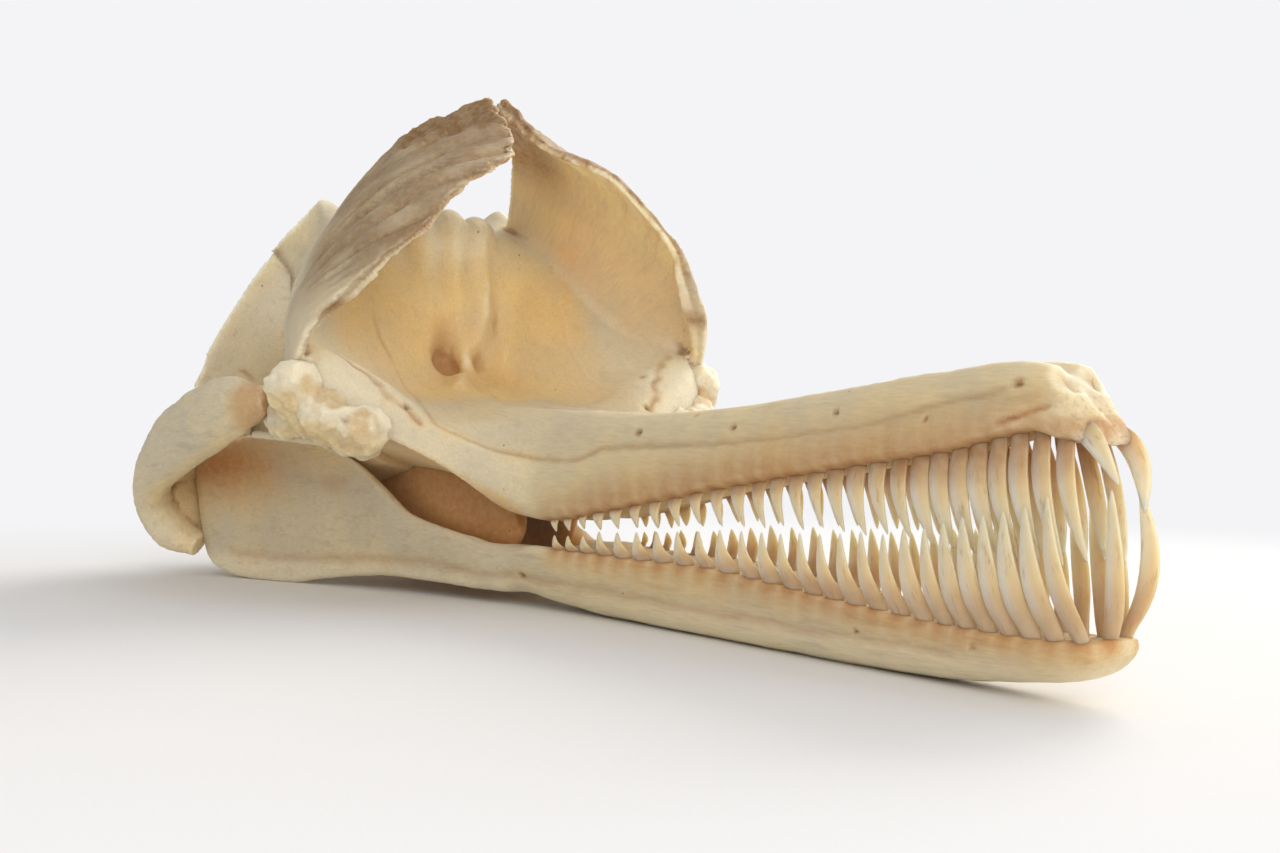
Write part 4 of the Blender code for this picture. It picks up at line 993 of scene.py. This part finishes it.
def make_lower_jaw(settings):
    """Both halves of the lower jaw as one surface."""
    front = skinned("front", sections(JAW_LINES, np.concatenate((np.arange(160, 378, 1.6), (379,)))))
    forms = [front, skinned("branch", branch_rings(RIGHT)), skinned("branch", branch_rings(LEFT))]
    clay = melt("lower_jaw", forms, settings.net * 0.95)
    clay.smooth(3)
    joint = step_up(clay.place[:, 0], 146, 156) * (1 - step_up(clay.place[:, 0], 166, 178))
    clay.soften(joint, 60)
    clay.soften(step_up(clay.place[:, 0], 367, 376), 22)
    clay.push(2.2 * sum(blob(clay.place, (76, 42 * side, 22), (26, 9, 11)) for side in (RIGHT, LEFT)))
    clay.refresh()
    clay.seam(JAW_SEAM, depth=0.45, width=1.3, stain_and_shade=0.28, wander=0.9)
    clay.holes(JAW_HOLES)
    x, y, z = clay.place.T
    front_half = step_up(x, 158, 172)
    middle = front_half * (1 - step_up(x, 352, 366)) * np.exp(-(y / 0.8) ** 2)
    clay.push(-0.6 * middle)
    clay.mark("stain_and_shade", 0.6 * middle)
    long_grain = ripple(clay.place * (0.06, 1, 1), 2.6, 5.2)
    clay.push(-0.1 * np.exp(-(long_grain / 0.15) ** 2) * (0.4 + 0.6 * front_half))
    # Painted light at the bottom of the jaw, standing in for light from the floor and through the keel
    clay.mark("pale", 0.5 * (1 - step_up(z, 5, 11)))
    clay.mark("amber", 0.8 * (1 - step_up(z, 6, 11)) * (0.4 + 0.6 * front_half))
    # Painted warm shade on the inner faces of the branches
    clay.mark("amber", 0.8 * (1 - front_half) * (1 - step_up(clay.normal[:, 1] * np.sign(y), -0.3, 0.3)))
    clay.patches(BRANCH_PATCHES)
    # Painted warm shade on the upper branches under the arches, and painted light on faces that look up
    clay.mark("amber", 0.6 * (1 - front_half) * step_up(z, 28, 42))
    clay.mark("pale", 0.5 * (1 - front_half) * step_up(clay.normal[:, 2], 0.5, 0.9))
    clay.refresh()
    carve_sockets(clay, tooth_row(GUM, 1, LOWER_TOOTH), 0.8)
    clay.refresh()
    clay.weather(settings.relief)
    # Orange-brown of dirt and of the painted shade under the arches
    material = bone("dry_bone_jaw", settings, streaks=0.4, stain_and_shade_colour="#A8733F")
    clay.done(material, "jaw_front", "jaw_branch_right", "jaw_branch_left")


def model_tooth():
    """One straight tooth of height, width and thickness 1, standing on the origin."""
    choose()
    foot, width, thick = TOOTH_SHAPE[0]
    bpy.ops.mesh.primitive_circle_add(vertices=14, radius=0.5, fill_type="NGON", location=(0, 0, foot))
    tooth = bpy.context.object
    bpy.ops.object.transform_apply(location=True)
    bpy.ops.object.mode_set(mode="EDIT")
    bpy.ops.mesh.select_all(action="SELECT")
    bpy.ops.transform.resize(value=(width, thick, 1), center_override=(0, 0, 0))
    for lower, upper in zip(TOOTH_SHAPE, TOOTH_SHAPE[1:]):
        bpy.ops.mesh.extrude_region_move(TRANSFORM_OT_translate={"value": (0, 0, upper[0] - lower[0])})
        shrink = (upper[1] / lower[1], upper[2] / lower[2], 1)
        bpy.ops.transform.resize(value=shrink, center_override=(0, 0, 0))
    bpy.ops.mesh.extrude_region_move(TRANSFORM_OT_translate={"value": (0, 0, 1 - TOOTH_SHAPE[-1][0])})
    bpy.ops.mesh.merge(type="CENTER")
    bpy.ops.mesh.select_all(action="SELECT")
    bpy.ops.mesh.normals_make_consistent(inside=False)
    bpy.ops.object.mode_set(mode="OBJECT")
    return tooth


def make_teeth(settings):
    """Curved, slightly twisted blades copied from one modelled tooth."""
    pattern = model_tooth()
    unit = np.array([vert.co for vert in pattern.data.vertices])
    shape = np.array(TOOTH_SHAPE)
    half = np.interp(unit[:, 2], np.append(shape[:, 0], 1), np.append(shape[:, 1] / 2, 0.01))
    # From the rear edge of a blade, -1, to its front edge, 1
    flank = np.clip(unit[:, 0] / half, -1, 1)
    for name, gum_line, facing, setting, node in (("upper_teeth", WING_TIP, -1, UPPER_TOOTH, "rostrum"),
                                                  ("lower_teeth", GUM, 1, LOWER_TOOTH, "jaw_front")):
        copies = []
        grains = []
        draw = random.Random(TOOTH_SEED + 11 * facing)
        for root, tip, width, side in tooth_row(gum_line, facing, setting):
            root, tip = np.array(root), np.array(tip)
            # The foremost pair of each jaw is bowed, and above it is short
            front = float(step_up(root[0], 367, 371) if facing < 0 else step_up(root[0], 372, 376.5))
            if facing < 0:
                root += np.array((1.25 * side - 5.2, 1.0 * side, 0.6)) * front
                tip += np.array((0.6, 0.7 * side, 13 - 2.7 * side)) * front
                width *= 1 + 0.15 * front
            else:
                root += np.array((-1.6, -1.0 * side, 0)) * front
                tip += np.array((6.6, -2.0 * side, 0.8)) * front
            length = float(np.linalg.norm(tip - root))
            axis = (tip - root) / length
            forward = np.array((1.0, 0, 0)) - axis * axis[0]
            forward /= np.linalg.norm(forward)
            across = np.cross(axis, forward)
            share = unit[:, 2]
            rise = np.clip(share, 0, 1)
            # Short teeth are triangles, long ones are blades that stay wide to near the tip
            blade = max(float(step_up(length, 12, 24)), front)
            wide = unit[:, 0] * width * settings.tooth_width * (1 + blade * (1.45 * rise - 0.22))
            bevel = np.sqrt(np.clip(1 - flank ** 2, 0, 1))
            deep = unit[:, 1] * width * settings.tooth_depth * (0.4 + 0.6 * bevel) * (1 + blade * 0.7 * rise)
            twist = math.radians(settings.twist) * (share - 0.4) * side * facing + draw.uniform(-0.12, 0.12)
            along_jaw = wide * np.cos(twist) - deep * np.sin(twist)
            sideways = wide * np.sin(twist) + deep * np.cos(twist)
            bow = np.sin(np.pi * rise) * length * TOOTH_BOW - 0.9 * (1 - step_up(rise, 0, 0.35))
            bend = settings.sway + (0.17 - 0.03 * facing) * front + draw.uniform(-0.01, 0.01)
            sway = length * np.sin(np.pi * rise ** 0.8) * bend
            place = root + axis * (share * length)[:, None] + forward * (along_jaw + sway)[:, None]
            place = place + across * sideways[:, None] + np.array((0, side, 0)) * bow[:, None]
            copy = pattern.copy()
            copy.data = pattern.data.copy()
            copy.data.vertices.foreach_set("co", place.ravel())
            bpy.context.scene.collection.objects.link(copy)
            copies.append(copy)
            grains.append(unit[:, (2, 0, 1)] * (length * 0.15, width, width) + (0, 0, draw.uniform(0, 60)))
        clay = Clay(joined(name, copies))
        height = np.tile(np.clip(unit[:, 2], 0, 1), len(copies))
        clay.grain = np.concatenate(grains)
        lead = step_up(np.tile(flank, len(copies)), -0.3, 0.25)
        # Dirt and painted shade at the root, heavier on the upper teeth
        clay.mark("stain_and_shade", (0.9 if facing < 0 else 0.55) * (1 - step_up(height, 0.1, 0.52)))
        # Painted warm glow towards the front edge and the middle of each blade, and a painted highlight along
        # the rear edge
        clay.mark("amber", (0.25 + 0.6 * lead) * (0.35 + 0.65 * np.exp(-((height - 0.35) / 0.3) ** 2)))
        clay.mark("pale", (1 - lead) * step_up(height, 0.05, 0.3) * 0.9)
        clay.done(tooth_ivory(name, settings), node)
        modify(clay.piece, "SUBSURF", levels=1, render_levels=1)
        choose()
    bpy.data.objects.remove(pattern)


# Materials

def add(tree, kind, inputs=None, **settings):
    """Add a node with its settings, and set or link its inputs; a node links by its first live output."""
    node = tree.nodes.new("ShaderNode" + kind)
    for key, value in settings.items():
        setattr(node, key, value)
    for key, value in (inputs or {}).items():
        if isinstance(value, bpy.types.Node):
            value = next(socket for socket in value.outputs if socket.enabled)
        if isinstance(value, bpy.types.NodeSocket):
            tree.links.new(value, node.inputs[key])
        elif isinstance(value, str):
            node.inputs[key].default_value = (*linear(value), 1)
        elif isinstance(value, Color):
            node.inputs[key].default_value = (*value, 1)
        else:
            node.inputs[key].default_value = value
    return node


def new_material(name):
    """A material with only the object coordinates in its tree."""
    material = bpy.data.materials.new(name)
    material.use_nodes = True
    tree = material.node_tree
    tree.nodes.clear()
    return material, tree, add(tree, "TexCoord").outputs["Object"]


def bone(name, settings, streaks, glow=0.0042, stain_and_shade_colour=None):
    """Dry weathered bone: matt, chalky, faintly waxy where thin, so back light warms it through.

    Grey-beige and cream lie over each other in patches about 20 mm wide, with fibres 0.7 and
    2.3 mm wide along the grain, rust-brown dirt in seams and painted shade, broken up by specks
    of 2 mm, painted warm glow and painted highlights, pores about 1 mm wide on worn ends, and
    single holes of 1 mm about 10 mm apart.
    """
    material, tree, place = new_material(name)
    grain = add(tree, "Attribute", attribute_name="grain").outputs["Vector"]
    stain_and_shade, amber, pale, pore = [add(tree, "Attribute", attribute_name=mark).outputs["Fac"] for mark in MARKS]
    patches = add(tree, "TexNoise", {"Vector": place, "Scale": 48, "Detail": 4, "Roughness": 0.6})
    specks = add(tree, "TexNoise", {"Vector": place, "Scale": 520, "Detail": 3, "Roughness": 0.6})
    streak = add(tree, "TexNoise", {"Vector": grain, "Scale": 430, "Detail": 5, "Roughness": 0.65,
                                    "Distortion": 0.3})
    fibre = add(tree, "TexNoise", {"Vector": grain, "Scale": 1500, "Detail": 3, "Roughness": 0.6})
    cells = add(tree, "TexNoise", {"Vector": place, "Scale": 950, "Detail": 2, "Roughness": 0.5})
    sparse = add(tree, "TexVoronoi", {"Vector": place, "Scale": 95})
    # Patches of grey-beige and cream
    patch = add(tree, "MapRange", {"Value": patches, "From Min": 0.3, "From Max": 0.7})
    ground = add(tree, "Mix", {0: patch, 6: settings.grey_bone, 7: settings.cream_bone}, data_type="RGBA")
    # Warm bone where it is thin or close to the teeth, painted warm glow, and painted warm shade where it is
    # sheltered
    hold = add(tree, "MapRange", {"Value": patches, "From Min": 0.3, "From Max": 0.7, "To Min": 0.6})
    spread = add(tree, "MapRange", {"Value": patches, "From Min": 0.3, "From Max": 0.7, "To Min": -0.06,
                                    "To Max": 0.1})
    warm = add(tree, "Math", {0: amber, 1: hold, 2: spread}, operation="MULTIPLY_ADD")
    warmed = add(tree, "Mix", {0: warm, 6: ground, 7: settings.amber_bone}, data_type="RGBA")
    # Bleached bone, with painted light and painted highlights
    bleached_and_lit = add(tree, "Mix", {0: pale, 6: warmed, 7: settings.pale_bone}, data_type="RGBA")
    # Dark and light fibres along the grain
    dark = add(tree, "MapRange", {"Value": streak, "From Min": 0.52, "From Max": 0.8, "To Max": streaks})
    fibred = add(tree, "Mix", {0: dark, 6: bleached_and_lit, 7: "#BCA783"}, data_type="RGBA", blend_type="MULTIPLY")
    light = add(tree, "MapRange", {"Value": fibre, "From Min": 0.35, "From Max": 0.7, "To Min": 0.93,
                                   "To Max": 1.04})
    lit = add(tree, "Mix", {0: 1.0, 6: fibred, 7: light}, data_type="RGBA", blend_type="MULTIPLY")
    # Dirt and painted shade, broken up by the specks
    broken = add(tree, "MapRange", {"Value": specks, "From Min": 0.3, "From Max": 0.6, "To Min": 0.8})
    stain_and_shade_share = add(tree, "Math", {0: stain_and_shade, 1: broken}, operation="MULTIPLY")
    stain_and_shade_tone = add(tree, "Mix", {0: amber, 6: stain_and_shade_colour or settings.rust_and_shade, 7: "#B27036"}, data_type="RGBA")
    stain_and_shade_mixed = add(tree, "Mix", {0: stain_and_shade_share, 6: lit, 7: stain_and_shade_tone}, data_type="RGBA")
    # Pores on worn ends and single nutrient holes elsewhere
    pit = add(tree, "MapRange", {"Value": cells, "From Min": 0.52, "From Max": 0.66})
    pits = add(tree, "Math", {0: pit, 1: pore}, operation="MULTIPLY")
    dot = add(tree, "MapRange", {"Value": sparse, "From Min": 0.045, "From Max": 0.025, "To Max": 0.6})
    holes = add(tree, "Math", {0: pits, 1: dot}, operation="MAXIMUM")
    holed = add(tree, "Mix", {0: holes, 6: stain_and_shade_mixed, 7: "#7A5430"}, data_type="RGBA")
    # Height of fibres, specks and holes
    ridges = add(tree, "Math", {0: streak, 1: 1.0, 2: fibre}, operation="MULTIPLY_ADD")
    lumps = add(tree, "Math", {0: specks, 1: 0.8, 2: ridges}, operation="MULTIPLY_ADD")
    relief = add(tree, "Math", {0: holes, 1: -1.6, 2: lumps}, operation="MULTIPLY_ADD")
    bump = add(tree, "Bump", {"Height": relief, "Strength": 0.5, "Distance": 0.00022})
    # Thin warm bone and bleached bone let more light through than the thick grey bone
    thin = add(tree, "Math", {0: amber, 1: pale}, operation="ADD")
    depth = add(tree, "MapRange", {"Value": thin, "To Min": 0.3, "To Max": 0.95})
    dull = add(tree, "MapRange", {"Value": streak, "From Min": 0.3, "From Max": 0.7, "To Min": 0.5,
                                  "To Max": 0.68})
    shader = add(tree, "BsdfPrincipled", {
        "Base Color": holed, "Roughness": dull, "Normal": bump, "Subsurface Weight": depth,
        "Subsurface Radius": (1.0, 0.86, 0.6), "Subsurface Scale": glow, "IOR": 1.5,
        "Specular IOR Level": 0.35})
    add(tree, "OutputMaterial", {"Surface": shader})
    return material


def tooth_ivory(name, settings):
    """Old tooth dentine under thin enamel: smooth, satin, translucent, brown at the socket with dirt and
    painted shade.

    A painted yellow glow lies in the middle of the blade, with a painted highlight on its rear edge and fine
    cracks about 1 mm apart along it.
    """
    material, tree, place = new_material("ivory_" + name)
    grain = add(tree, "Attribute", attribute_name="grain").outputs["Vector"]
    stain_and_shade, amber, pale = [add(tree, "Attribute", attribute_name=mark).outputs["Fac"] for mark in MARKS[:3]]
    clouds = add(tree, "TexNoise", {"Vector": place, "Scale": 160, "Detail": 3, "Roughness": 0.6})
    lines = add(tree, "TexNoise", {"Vector": grain, "Scale": 1100, "Detail": 3, "Roughness": 0.6})
    cloud = add(tree, "MapRange", {"Value": clouds, "From Min": 0.35, "From Max": 0.65})
    ground = add(tree, "Mix", {0: cloud, 6: "#D0C8B2", 7: settings.tooth_colour}, data_type="RGBA")
    # Painted warm glow and painted highlight, from the amber and pale marks
    warmed = add(tree, "Mix", {0: amber, 6: ground, 7: "#DDC38F"}, data_type="RGBA")
    highlighted = add(tree, "Mix", {0: pale, 6: warmed, 7: "#E8E3D5"}, data_type="RGBA")
    crack = add(tree, "MapRange", {"Value": lines, "From Min": 0.58, "From Max": 0.75, "To Max": 0.5})
    cracked = add(tree, "Mix", {0: crack, 6: highlighted, 7: "#A98A5E"}, data_type="RGBA", blend_type="MULTIPLY")
    broken = add(tree, "MapRange", {"Value": clouds, "From Min": 0.35, "From Max": 0.65, "To Min": 0.6})
    stain_and_shade_share = add(tree, "Math", {0: stain_and_shade, 1: broken}, operation="MULTIPLY")
    stain_and_shade_mixed = add(tree, "Mix", {0: stain_and_shade_share, 6: cracked, 7: settings.rust_and_shade}, data_type="RGBA")
    bump = add(tree, "Bump", {"Height": lines, "Strength": 0.3, "Distance": 0.00015})
    satin = add(tree, "MapRange", {"Value": clouds, "From Min": 0.3, "From Max": 0.7, "To Min": 0.3,
                                   "To Max": 0.45})
    shader = add(tree, "BsdfPrincipled", {
        "Base Color": stain_and_shade_mixed, "Roughness": satin, "Normal": bump, "Subsurface Weight": 0.6,
        "Subsurface Radius": (1.0, 0.76, 0.42), "Subsurface Scale": 0.004, "IOR": 1.54})
    add(tree, "OutputMaterial", {"Surface": shader})
    return material


def studio_floor(settings):
    """White painted board: matt, even, and fading into the white of the room further out."""
    material, tree, place = new_material("white_board")
    reach = add(tree, "VectorMath", {0: place}, operation="LENGTH")
    far = add(tree, "MapRange", {"Value": reach, "From Min": 0.17, "From Max": 0.46},
              interpolation_type="SMOOTHSTEP")
    grain = add(tree, "TexNoise", {"Vector": place, "Scale": 900, "Detail": 2})
    tone = add(tree, "Mix", {0: grain, 6: "#E5E4E3", 7: "#EAE9E7"}, data_type="RGBA")
    board = add(tree, "BsdfPrincipled", {"Base Color": tone, "Roughness": 0.8, "Specular IOR Level": 0.1})
    glow = add(tree, "Emission", {"Color": settings.room_colour, "Strength": 1.0})
    mixed = add(tree, "MixShader", {0: far, 1: board, 2: glow})
    add(tree, "OutputMaterial", {"Surface": mixed})
    return material


# Stage

# Camera place in skull millimetres, its turn, tip and roll in radians, its lens, and the middle it lights
CAMERA_PLACE = (622.76, -267.64, 59.68)
CAMERA_YAW = 0.57292
CAMERA_PITCH = 0.01711
CAMERA_ROLL = 0.00653
CAMERA_LENS = 52.448
MIDDLE = (190, 0, 60)
# Light panels and floor in metres, with the share by which each ring of the floor is smaller
PANEL_DISTANCE = 1.1
FLOOR_RADIUS = 6
FLOOR_RINGS = (0.4, 0.4, 0.5)
ROOM_LIGHT_WAY = (0.5, 0.62, 0.6)


def skull_point(place):
    """A place of the skull in millimetres as a place of the scene."""
    return Vector(place) * MILLIMETRE + SHIFT


def make_camera():
    """The camera at the angle of the photograph."""
    ahead = math.cos(CAMERA_PITCH)
    look = Vector((-math.cos(CAMERA_YAW) * ahead, math.sin(CAMERA_YAW) * ahead, -math.sin(CAMERA_PITCH)))
    level = Vector((math.sin(CAMERA_YAW), math.cos(CAMERA_YAW), 0))
    upright = level.cross(look)
    right = level * math.cos(CAMERA_ROLL) + upright * math.sin(CAMERA_ROLL)
    up = upright * math.cos(CAMERA_ROLL) - level * math.sin(CAMERA_ROLL)
    turn = Vector((0, 0, 0)).to_track_quat("Z", "Y").to_matrix()
    turn.col[0], turn.col[1], turn.col[2] = right, up, -look
    bpy.ops.object.camera_add(location=skull_point(CAMERA_PLACE), rotation=turn.to_euler())
    camera = bpy.context.object
    camera.name = "camera"
    camera.data.lens = CAMERA_LENS
    camera.data.sensor_width = 36
    camera.data.clip_start = 0.01
    camera.data.clip_end = 50
    bpy.context.scene.camera = camera


def add_panel(name, direction, size, power, colour):
    """A large soft light panel that faces the middle of the skull."""
    middle = skull_point(MIDDLE)
    place = middle + Vector(direction).normalized() * PANEL_DISTANCE
    turn = (place - middle).to_track_quat("Z", "Y").to_euler()
    bpy.ops.object.light_add(type="AREA", location=place, rotation=turn)
    panel = bpy.context.object
    panel.name = name
    panel.data.shape = "DISK"
    panel.data.size = size
    panel.data.energy = power
    panel.data.color = linear(colour)


def make_stage(settings):
    """The floor, the white room, two soft lights and the camera."""
    choose()
    bpy.ops.mesh.primitive_circle_add(vertices=96, radius=FLOOR_RADIUS, fill_type="NGON", location=(0, 0, 0))
    floor = bpy.context.object
    floor.name = "floor"
    bpy.ops.object.mode_set(mode="EDIT")
    bpy.ops.mesh.select_all(action="SELECT")
    for ring in FLOOR_RINGS:
        bpy.ops.mesh.inset(thickness=0, depth=0)
        bpy.ops.transform.resize(value=(ring, ring, 1), center_override=(0, 0, 0))
    bpy.ops.object.mode_set(mode="OBJECT")
    floor.data.materials.append(studio_floor(settings))
    world = bpy.data.worlds.new("white_room")
    bpy.context.scene.world = world
    world.use_nodes = True
    tree = world.node_tree
    tree.nodes.clear()
    # The room is seen as even white; as a light it is bright behind the snout and dimmer at the nape
    way = add(tree, "TexCoord").outputs["Generated"]
    facing = add(tree, "VectorMath", {0: way, 1: ROOM_LIGHT_WAY}, operation="DOT_PRODUCT")
    power = add(tree, "MapRange", {"Value": facing, "From Min": -0.8, "From Max": 0.8,
                                   "To Min": settings.front_fill})
    lighting = add(tree, "Background", {"Color": settings.room_colour, "Strength": power})
    seen = add(tree, "Background", {"Color": settings.room_colour, "Strength": 1.0})
    ray = add(tree, "LightPath").outputs["Is Camera Ray"]
    both = add(tree, "MixShader", {0: ray, 1: lighting, 2: seen})
    add(tree, "OutputWorld", {"Surface": both})
    add_panel("back_light", (-0.2, 0.78, 0.52), 0.75, settings.back_light, "#FFFAF2")
    add_panel("front_light", (0.86, -0.34, 0.32), 0.6, settings.back_light * 0.56, "#FFFCF8")
    make_camera()
    bpy.context.scene.view_settings.view_transform = "Standard"


# Add-on

class SkullSettings(bpy.types.PropertyGroup):
    """Sizes and colours of the dressed skull."""
    net: bpy.props.FloatProperty(
        name="Net size", description="Size of the small faces of a sculpted piece, mm", default=0.92,
        min=0.5, max=4)
    relief: bpy.props.FloatProperty(
        name="Relief", description="Height of the shallow unevenness, mm", default=0.22, min=0, max=2)
    tooth_width: bpy.props.FloatProperty(
        name="Tooth width", description="Width of a blade against its plain solid", default=1.0,
        min=0.5, max=1.2)
    tooth_depth: bpy.props.FloatProperty(
        name="Tooth depth", description="Thickness of a blade against its width", default=0.42,
        min=0.2, max=1)
    sway: bpy.props.FloatProperty(
        name="Tooth sway", description="Bend of a tooth along the jaw against its length", default=-0.045,
        min=-0.5, max=0.5)
    twist: bpy.props.FloatProperty(
        name="Tooth twist", description="Turn of a tooth about its length, degrees", default=24,
        min=0, max=90)
    back_light: bpy.props.FloatProperty(
        name="Back light", description="Power of the panel behind", default=8, min=0, unit="POWER")
    front_fill: bpy.props.FloatProperty(
        name="Front fill", description="Light of the room at the nape", default=0.27, min=0, max=2)
    grey_bone: bpy.props.FloatVectorProperty(
        name="Grey bone", description="Grey-beige patches of the bone", subtype="COLOR",
        default=linear("#CDC1A6"))
    cream_bone: bpy.props.FloatVectorProperty(
        name="Cream bone", description="Cream patches of the bone", subtype="COLOR",
        default=linear("#DACBA8"))
    # Thin warm bone, and the colour of painted warm glow and warm shade
    amber_bone: bpy.props.FloatVectorProperty(
        name="Amber bone", description="Thin warm bone", subtype="COLOR", default=linear("#EBCF92"))
    # Bleached bone, and the colour of painted light and highlights
    pale_bone: bpy.props.FloatVectorProperty(
        name="Pale bone", description="Bleached and worn bone", subtype="COLOR", default=linear("#F2E9CF"))
    # Brown of dirt and of painted shade
    rust_and_shade: bpy.props.FloatVectorProperty(
        name="Rust stain", description="Dirt in seams and sockets", subtype="COLOR",
        default=linear("#9C6A36"))
    tooth_colour: bpy.props.FloatVectorProperty(
        name="Tooth", description="Colour of the teeth", subtype="COLOR", default=linear("#DCD4BC"))
    room_colour: bpy.props.FloatVectorProperty(
        name="Room", description="White of the room and far floor", subtype="COLOR",
        default=linear("#F4F4F6"))


class SKULL_OT_upper_jaw(bpy.types.Operator):
    """Sculpt the face, the upper jaw and both crests"""
    bl_idname = "skull.upper_jaw"
    bl_label = "Upper jaw and crests"

    def execute(self, context):
        make_upper_jaw(context.scene.skull)
        return {"FINISHED"}


class SKULL_OT_braincase(bpy.types.Operator):
    """Sculpt the braincase with its condyles"""
    bl_idname = "skull.braincase"
    bl_label = "Braincase"

    def execute(self, context):
        make_braincase(context.scene.skull)
        return {"FINISHED"}


class SKULL_OT_arches(bpy.types.Operator):
    """Sculpt the two zygomatic arches"""
    bl_idname = "skull.arches"
    bl_label = "Cheek arches"

    def execute(self, context):
        make_arches(context.scene.skull)
        return {"FINISHED"}


class SKULL_OT_brows(bpy.types.Operator):
    """Sculpt the knobbly processes in front of the eyes"""
    bl_idname = "skull.brows"
    bl_label = "Brows"

    def execute(self, context):
        make_brows(context.scene.skull)
        return {"FINISHED"}


class SKULL_OT_cheek_bars(bpy.types.Operator):
    """Sculpt the thin rods under the eye sockets"""
    bl_idname = "skull.cheek_bars"
    bl_label = "Cheek bars"

    def execute(self, context):
        make_cheek_bars(context.scene.skull)
        return {"FINISHED"}


class SKULL_OT_palate_wings(bpy.types.Operator):
    """Sculpt the wings behind the palate"""
    bl_idname = "skull.palate_wings"
    bl_label = "Palate wings"

    def execute(self, context):
        make_palate_wings(context.scene.skull)
        return {"FINISHED"}


class SKULL_OT_lower_jaw(bpy.types.Operator):
    """Sculpt the lower jaw"""
    bl_idname = "skull.lower_jaw"
    bl_label = "Lower jaw"

    def execute(self, context):
        make_lower_jaw(context.scene.skull)
        return {"FINISHED"}


class SKULL_OT_teeth(bpy.types.Operator):
    """Model one tooth and set its copies in both jaws"""
    bl_idname = "skull.teeth"
    bl_label = "Teeth"

    def execute(self, context):
        make_teeth(context.scene.skull)
        return {"FINISHED"}


class SKULL_OT_stage(bpy.types.Operator):
    """Add the floor, the lights and the camera"""
    bl_idname = "skull.stage"
    bl_label = "Stage"

    def execute(self, context):
        make_stage(context.scene.skull)
        return {"FINISHED"}


STEPS = (SKULL_OT_upper_jaw, SKULL_OT_braincase, SKULL_OT_arches, SKULL_OT_brows, SKULL_OT_cheek_bars,
         SKULL_OT_palate_wings, SKULL_OT_lower_jaw, SKULL_OT_teeth, SKULL_OT_stage)


class SKULL_PT_panel(bpy.types.Panel):
    """Sizes, colours and building steps of the skull"""
    bl_idname = "SKULL_PT_panel"
    bl_label = "River dolphin skull"
    bl_space_type = "VIEW_3D"
    bl_region_type = "UI"
    bl_category = "Skull"

    def draw(self, context):
        layout = self.layout
        for name in SkullSettings.__annotations__:
            layout.prop(context.scene.skull, name)
        for step in STEPS:
            layout.operator(step.bl_idname)


CLASSES = (SkullSettings, *STEPS, SKULL_PT_panel)


def register():
    for kind in CLASSES:
        bpy.utils.register_class(kind)
    bpy.types.Scene.skull = bpy.props.PointerProperty(type=SkullSettings)


def unregister():
    del bpy.types.Scene.skull
    for kind in reversed(CLASSES):
        bpy.utils.unregister_class(kind)


def main():
    register()
    bpy.ops.skull.upper_jaw()
    bpy.ops.skull.braincase()
    bpy.ops.skull.arches()
    bpy.ops.skull.brows()
    bpy.ops.skull.cheek_bars()
    bpy.ops.skull.palate_wings()
    bpy.ops.skull.lower_jaw()
    bpy.ops.skull.teeth()
    bpy.ops.skull.stage()


if __name__ == "__main__":
    main()
